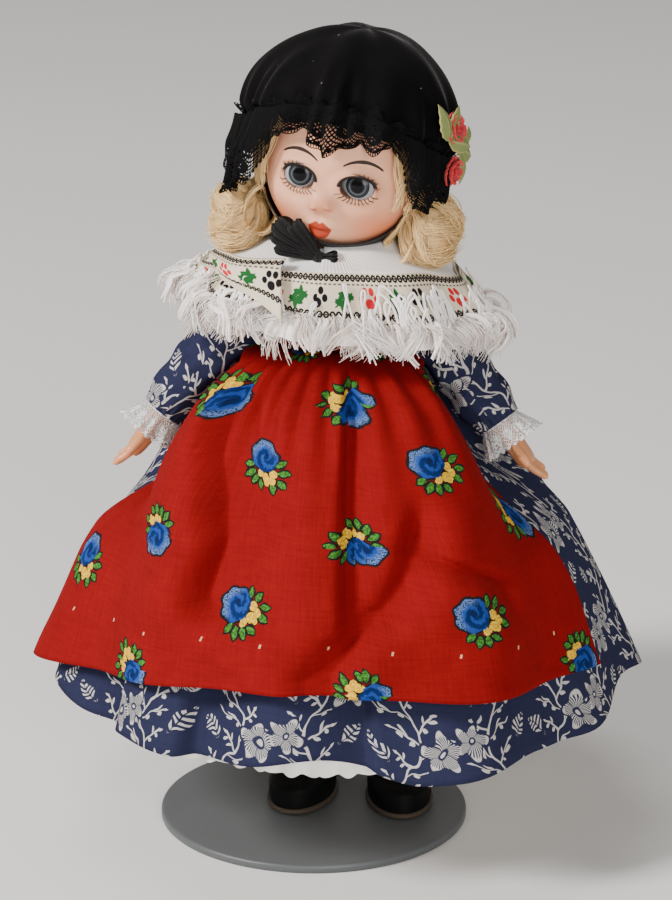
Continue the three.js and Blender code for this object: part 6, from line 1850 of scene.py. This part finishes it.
def build_fringe():
    """Cotton fringe: yarns and loose fibres in tufts over a core, and loops that fall back over the
    braid."""
    yarn = yarn_finish("fringe_yarn", (0.78, 0.58, 0.48), colour("cotton", 1.03), 0.95, Sheen_Weight=0.2)
    rng = np.random.default_rng(21)
    for word, side in SIDES:
        shape = Shape()
        for share, steps, thick, wander, sides in STRANDS:
            n = count("fringe_yarns") * share
            paths, tint = fringe_paths(rng, side, n, steps, wander)
            r = thick * (1 - 0.5 * np.linspace(0, 1, steps) ** 2)[None] * rng.uniform(0.7, 1.15, (n, 1))
            shape.grid(tubes(paths, r, sides), tint=strand_tint(tint, paths, sides), wrap=True)
        loops = FRINGE_LOOPS
        a0 = side * rng.uniform(0.03, math.pi - 0.03, loops)[:, None]
        s = np.linspace(0, 1, 12)[None]
        high = rng.uniform(0.05, 0.75, loops)[:, None]
        a = a0 + side * rng.normal(0, 0.09, (loops, 1)) * s + 0.02 * np.sin(s * 8 + a0 * 40)
        a = side * np.maximum(side * a, 0.0)
        t = 2.0 - high * np.sin(s * math.pi) ** 0.8
        p = shawl(a, t, 2.5 + 0.9 * np.sin(s * math.pi))
        drop = np.clip(s - 0.6, 0, 1) * rng.uniform(2, 12, (loops, 1))
        move_off(p, a, drop * 0.25, drop)
        tint = strand_tint(rng.uniform(0.7, 1, loops), p, 5)
        shape.grid(tubes(p, 0.36, 5), tint=tint, wrap=True)
        u, v = lattice(10, 160, (0, 0.0), (1, math.pi))
        a = side * v
        core = shawl(a, np.full_like(a, 2.0), 0.3)
        reach = 3.0 * np.sin(u * math.pi / 2) + 0.9 + 0.5 * np.cos(41 * a)
        move_off(core, a, reach, u * (size("fringe_length") - 3.0))
        shape.grid(core, tint=0.75)
        fringe = shape.make(f"{word}_fringe_yarn", yarn)
        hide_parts(f"{word}_fringe")
        bend_with_arm(fringe, side)


class DOLL_OT_stage(bpy.types.Operator):
    """Floor, lights and camera."""

    bl_idname = "doll.stage"
    bl_label = "Stage"

    def execute(self, context):
        build_stage()
        return {"FINISHED"}


class DOLL_OT_stand(bpy.types.Operator):
    """Stand and the small metal parts."""

    bl_idname = "doll.stand"
    bl_label = "Stand"

    def execute(self, context):
        build_stand()
        return {"FINISHED"}


class DOLL_OT_body(bpy.types.Operator):
    """Arms, legs and trunk."""

    bl_idname = "doll.body"
    bl_label = "Body"

    def execute(self, context):
        build_body()
        return {"FINISHED"}


class DOLL_OT_stringing(bpy.types.Operator):
    """Elastics inside the doll."""

    bl_idname = "doll.stringing"
    bl_label = "Stringing"

    def execute(self, context):
        build_stringing()
        return {"FINISHED"}


class DOLL_OT_feet(bpy.types.Operator):
    """Shoes, soles and stockings."""

    bl_idname = "doll.feet"
    bl_label = "Feet"

    def execute(self, context):
        build_feet()
        return {"FINISHED"}


class DOLL_OT_head(bpy.types.Operator):
    """Painted head."""

    bl_idname = "doll.head"
    bl_label = "Head"

    def execute(self, context):
        build_head()
        return {"FINISHED"}


class DOLL_OT_eyes(bpy.types.Operator):
    """Sleep eyes with lashes."""

    bl_idname = "doll.eyes"
    bl_label = "Eyes"

    def execute(self, context):
        build_eyes()
        return {"FINISHED"}


class DOLL_OT_hair(bpy.types.Operator):
    """Wig and curls."""

    bl_idname = "doll.hair"
    bl_label = "Hair"

    def execute(self, context):
        build_hair()
        return {"FINISHED"}


class DOLL_OT_cap(bpy.types.Operator):
    """Velvet cap and its lace."""

    bl_idname = "doll.cap"
    bl_label = "Cap"

    def execute(self, context):
        build_cap()
        return {"FINISHED"}


class DOLL_OT_chin_tie(bpy.types.Operator):
    """Ribbon under the chin and its bow."""

    bl_idname = "doll.chin_tie"
    bl_label = "Chin tie"

    def execute(self, context):
        build_chin_tie()
        return {"FINISHED"}


class DOLL_OT_flowers(bpy.types.Operator):
    """Cloth flowers and leaves on the cap."""

    bl_idname = "doll.flowers"
    bl_label = "Flowers"

    def execute(self, context):
        build_flowers()
        return {"FINISHED"}


class DOLL_OT_dress(bpy.types.Operator):
    """Bodice and skirt."""

    bl_idname = "doll.dress"
    bl_label = "Dress"

    def execute(self, context):
        build_dress()
        return {"FINISHED"}


class DOLL_OT_sleeves(bpy.types.Operator):
    """Sleeves and lace cuffs."""

    bl_idname = "doll.sleeves"
    bl_label = "Sleeves"

    def execute(self, context):
        build_sleeves()
        return {"FINISHED"}


class DOLL_OT_petticoat(bpy.types.Operator):
    """Petticoat and its lace."""

    bl_idname = "doll.petticoat"
    bl_label = "Petticoat"

    def execute(self, context):
        build_petticoat()
        return {"FINISHED"}


class DOLL_OT_apron(bpy.types.Operator):
    """Apron, waistband and bow."""

    bl_idname = "doll.apron"
    bl_label = "Apron"

    def execute(self, context):
        build_apron()
        return {"FINISHED"}


class DOLL_OT_shawl(bpy.types.Operator):
    """Shawl halves, braid and folded end."""

    bl_idname = "doll.shawl"
    bl_label = "Shawl"

    def execute(self, context):
        build_shawl()
        return {"FINISHED"}


class DOLL_OT_fringe(bpy.types.Operator):
    """Fringe of the shawl."""

    bl_idname = "doll.fringe"
    bl_label = "Fringe"

    def execute(self, context):
        build_fringe()
        return {"FINISHED"}


STEPS = (
    DOLL_OT_stage, DOLL_OT_stand, DOLL_OT_body, DOLL_OT_stringing, DOLL_OT_feet, DOLL_OT_head,
    DOLL_OT_eyes, DOLL_OT_hair, DOLL_OT_cap, DOLL_OT_chin_tie, DOLL_OT_flowers, DOLL_OT_dress,
    DOLL_OT_sleeves, DOLL_OT_petticoat, DOLL_OT_apron, DOLL_OT_shawl, DOLL_OT_fringe,
)


class DOLL_PT_panel(bpy.types.Panel):
    """Sizes, colours and steps of the doll."""

    bl_label = "Costume doll"
    bl_idname = "DOLL_PT_panel"
    bl_space_type = "VIEW_3D"
    bl_region_type = "UI"
    bl_category = "Doll"

    def draw(self, context):
        for group in (context.scene.doll_sizes, context.scene.doll_colours):
            box = self.layout.box()
            for name in group.__annotations__:
                box.prop(group, name)
        for step in STEPS:
            self.layout.operator(step.bl_idname)


CLASSES = (DollSizes, DollColours, *STEPS, DOLL_PT_panel)


def register():
    for c in CLASSES:
        bpy.utils.register_class(c)
    bpy.types.Scene.doll_sizes = bpy.props.PointerProperty(type=DollSizes)
    bpy.types.Scene.doll_colours = bpy.props.PointerProperty(type=DollColours)


def unregister():
    del bpy.types.Scene.doll_sizes
    del bpy.types.Scene.doll_colours
    for c in reversed(CLASSES):
        bpy.utils.unregister_class(c)


def plain(box):
    return [[round(float(v), 5) for v in corner] for corner in box]


def main():
    register()
    for step in STEPS:
        group, name = step.bl_idname.split(".")
        getattr(getattr(bpy.ops, group), name)()


if __name__ == "__main__":
    main()
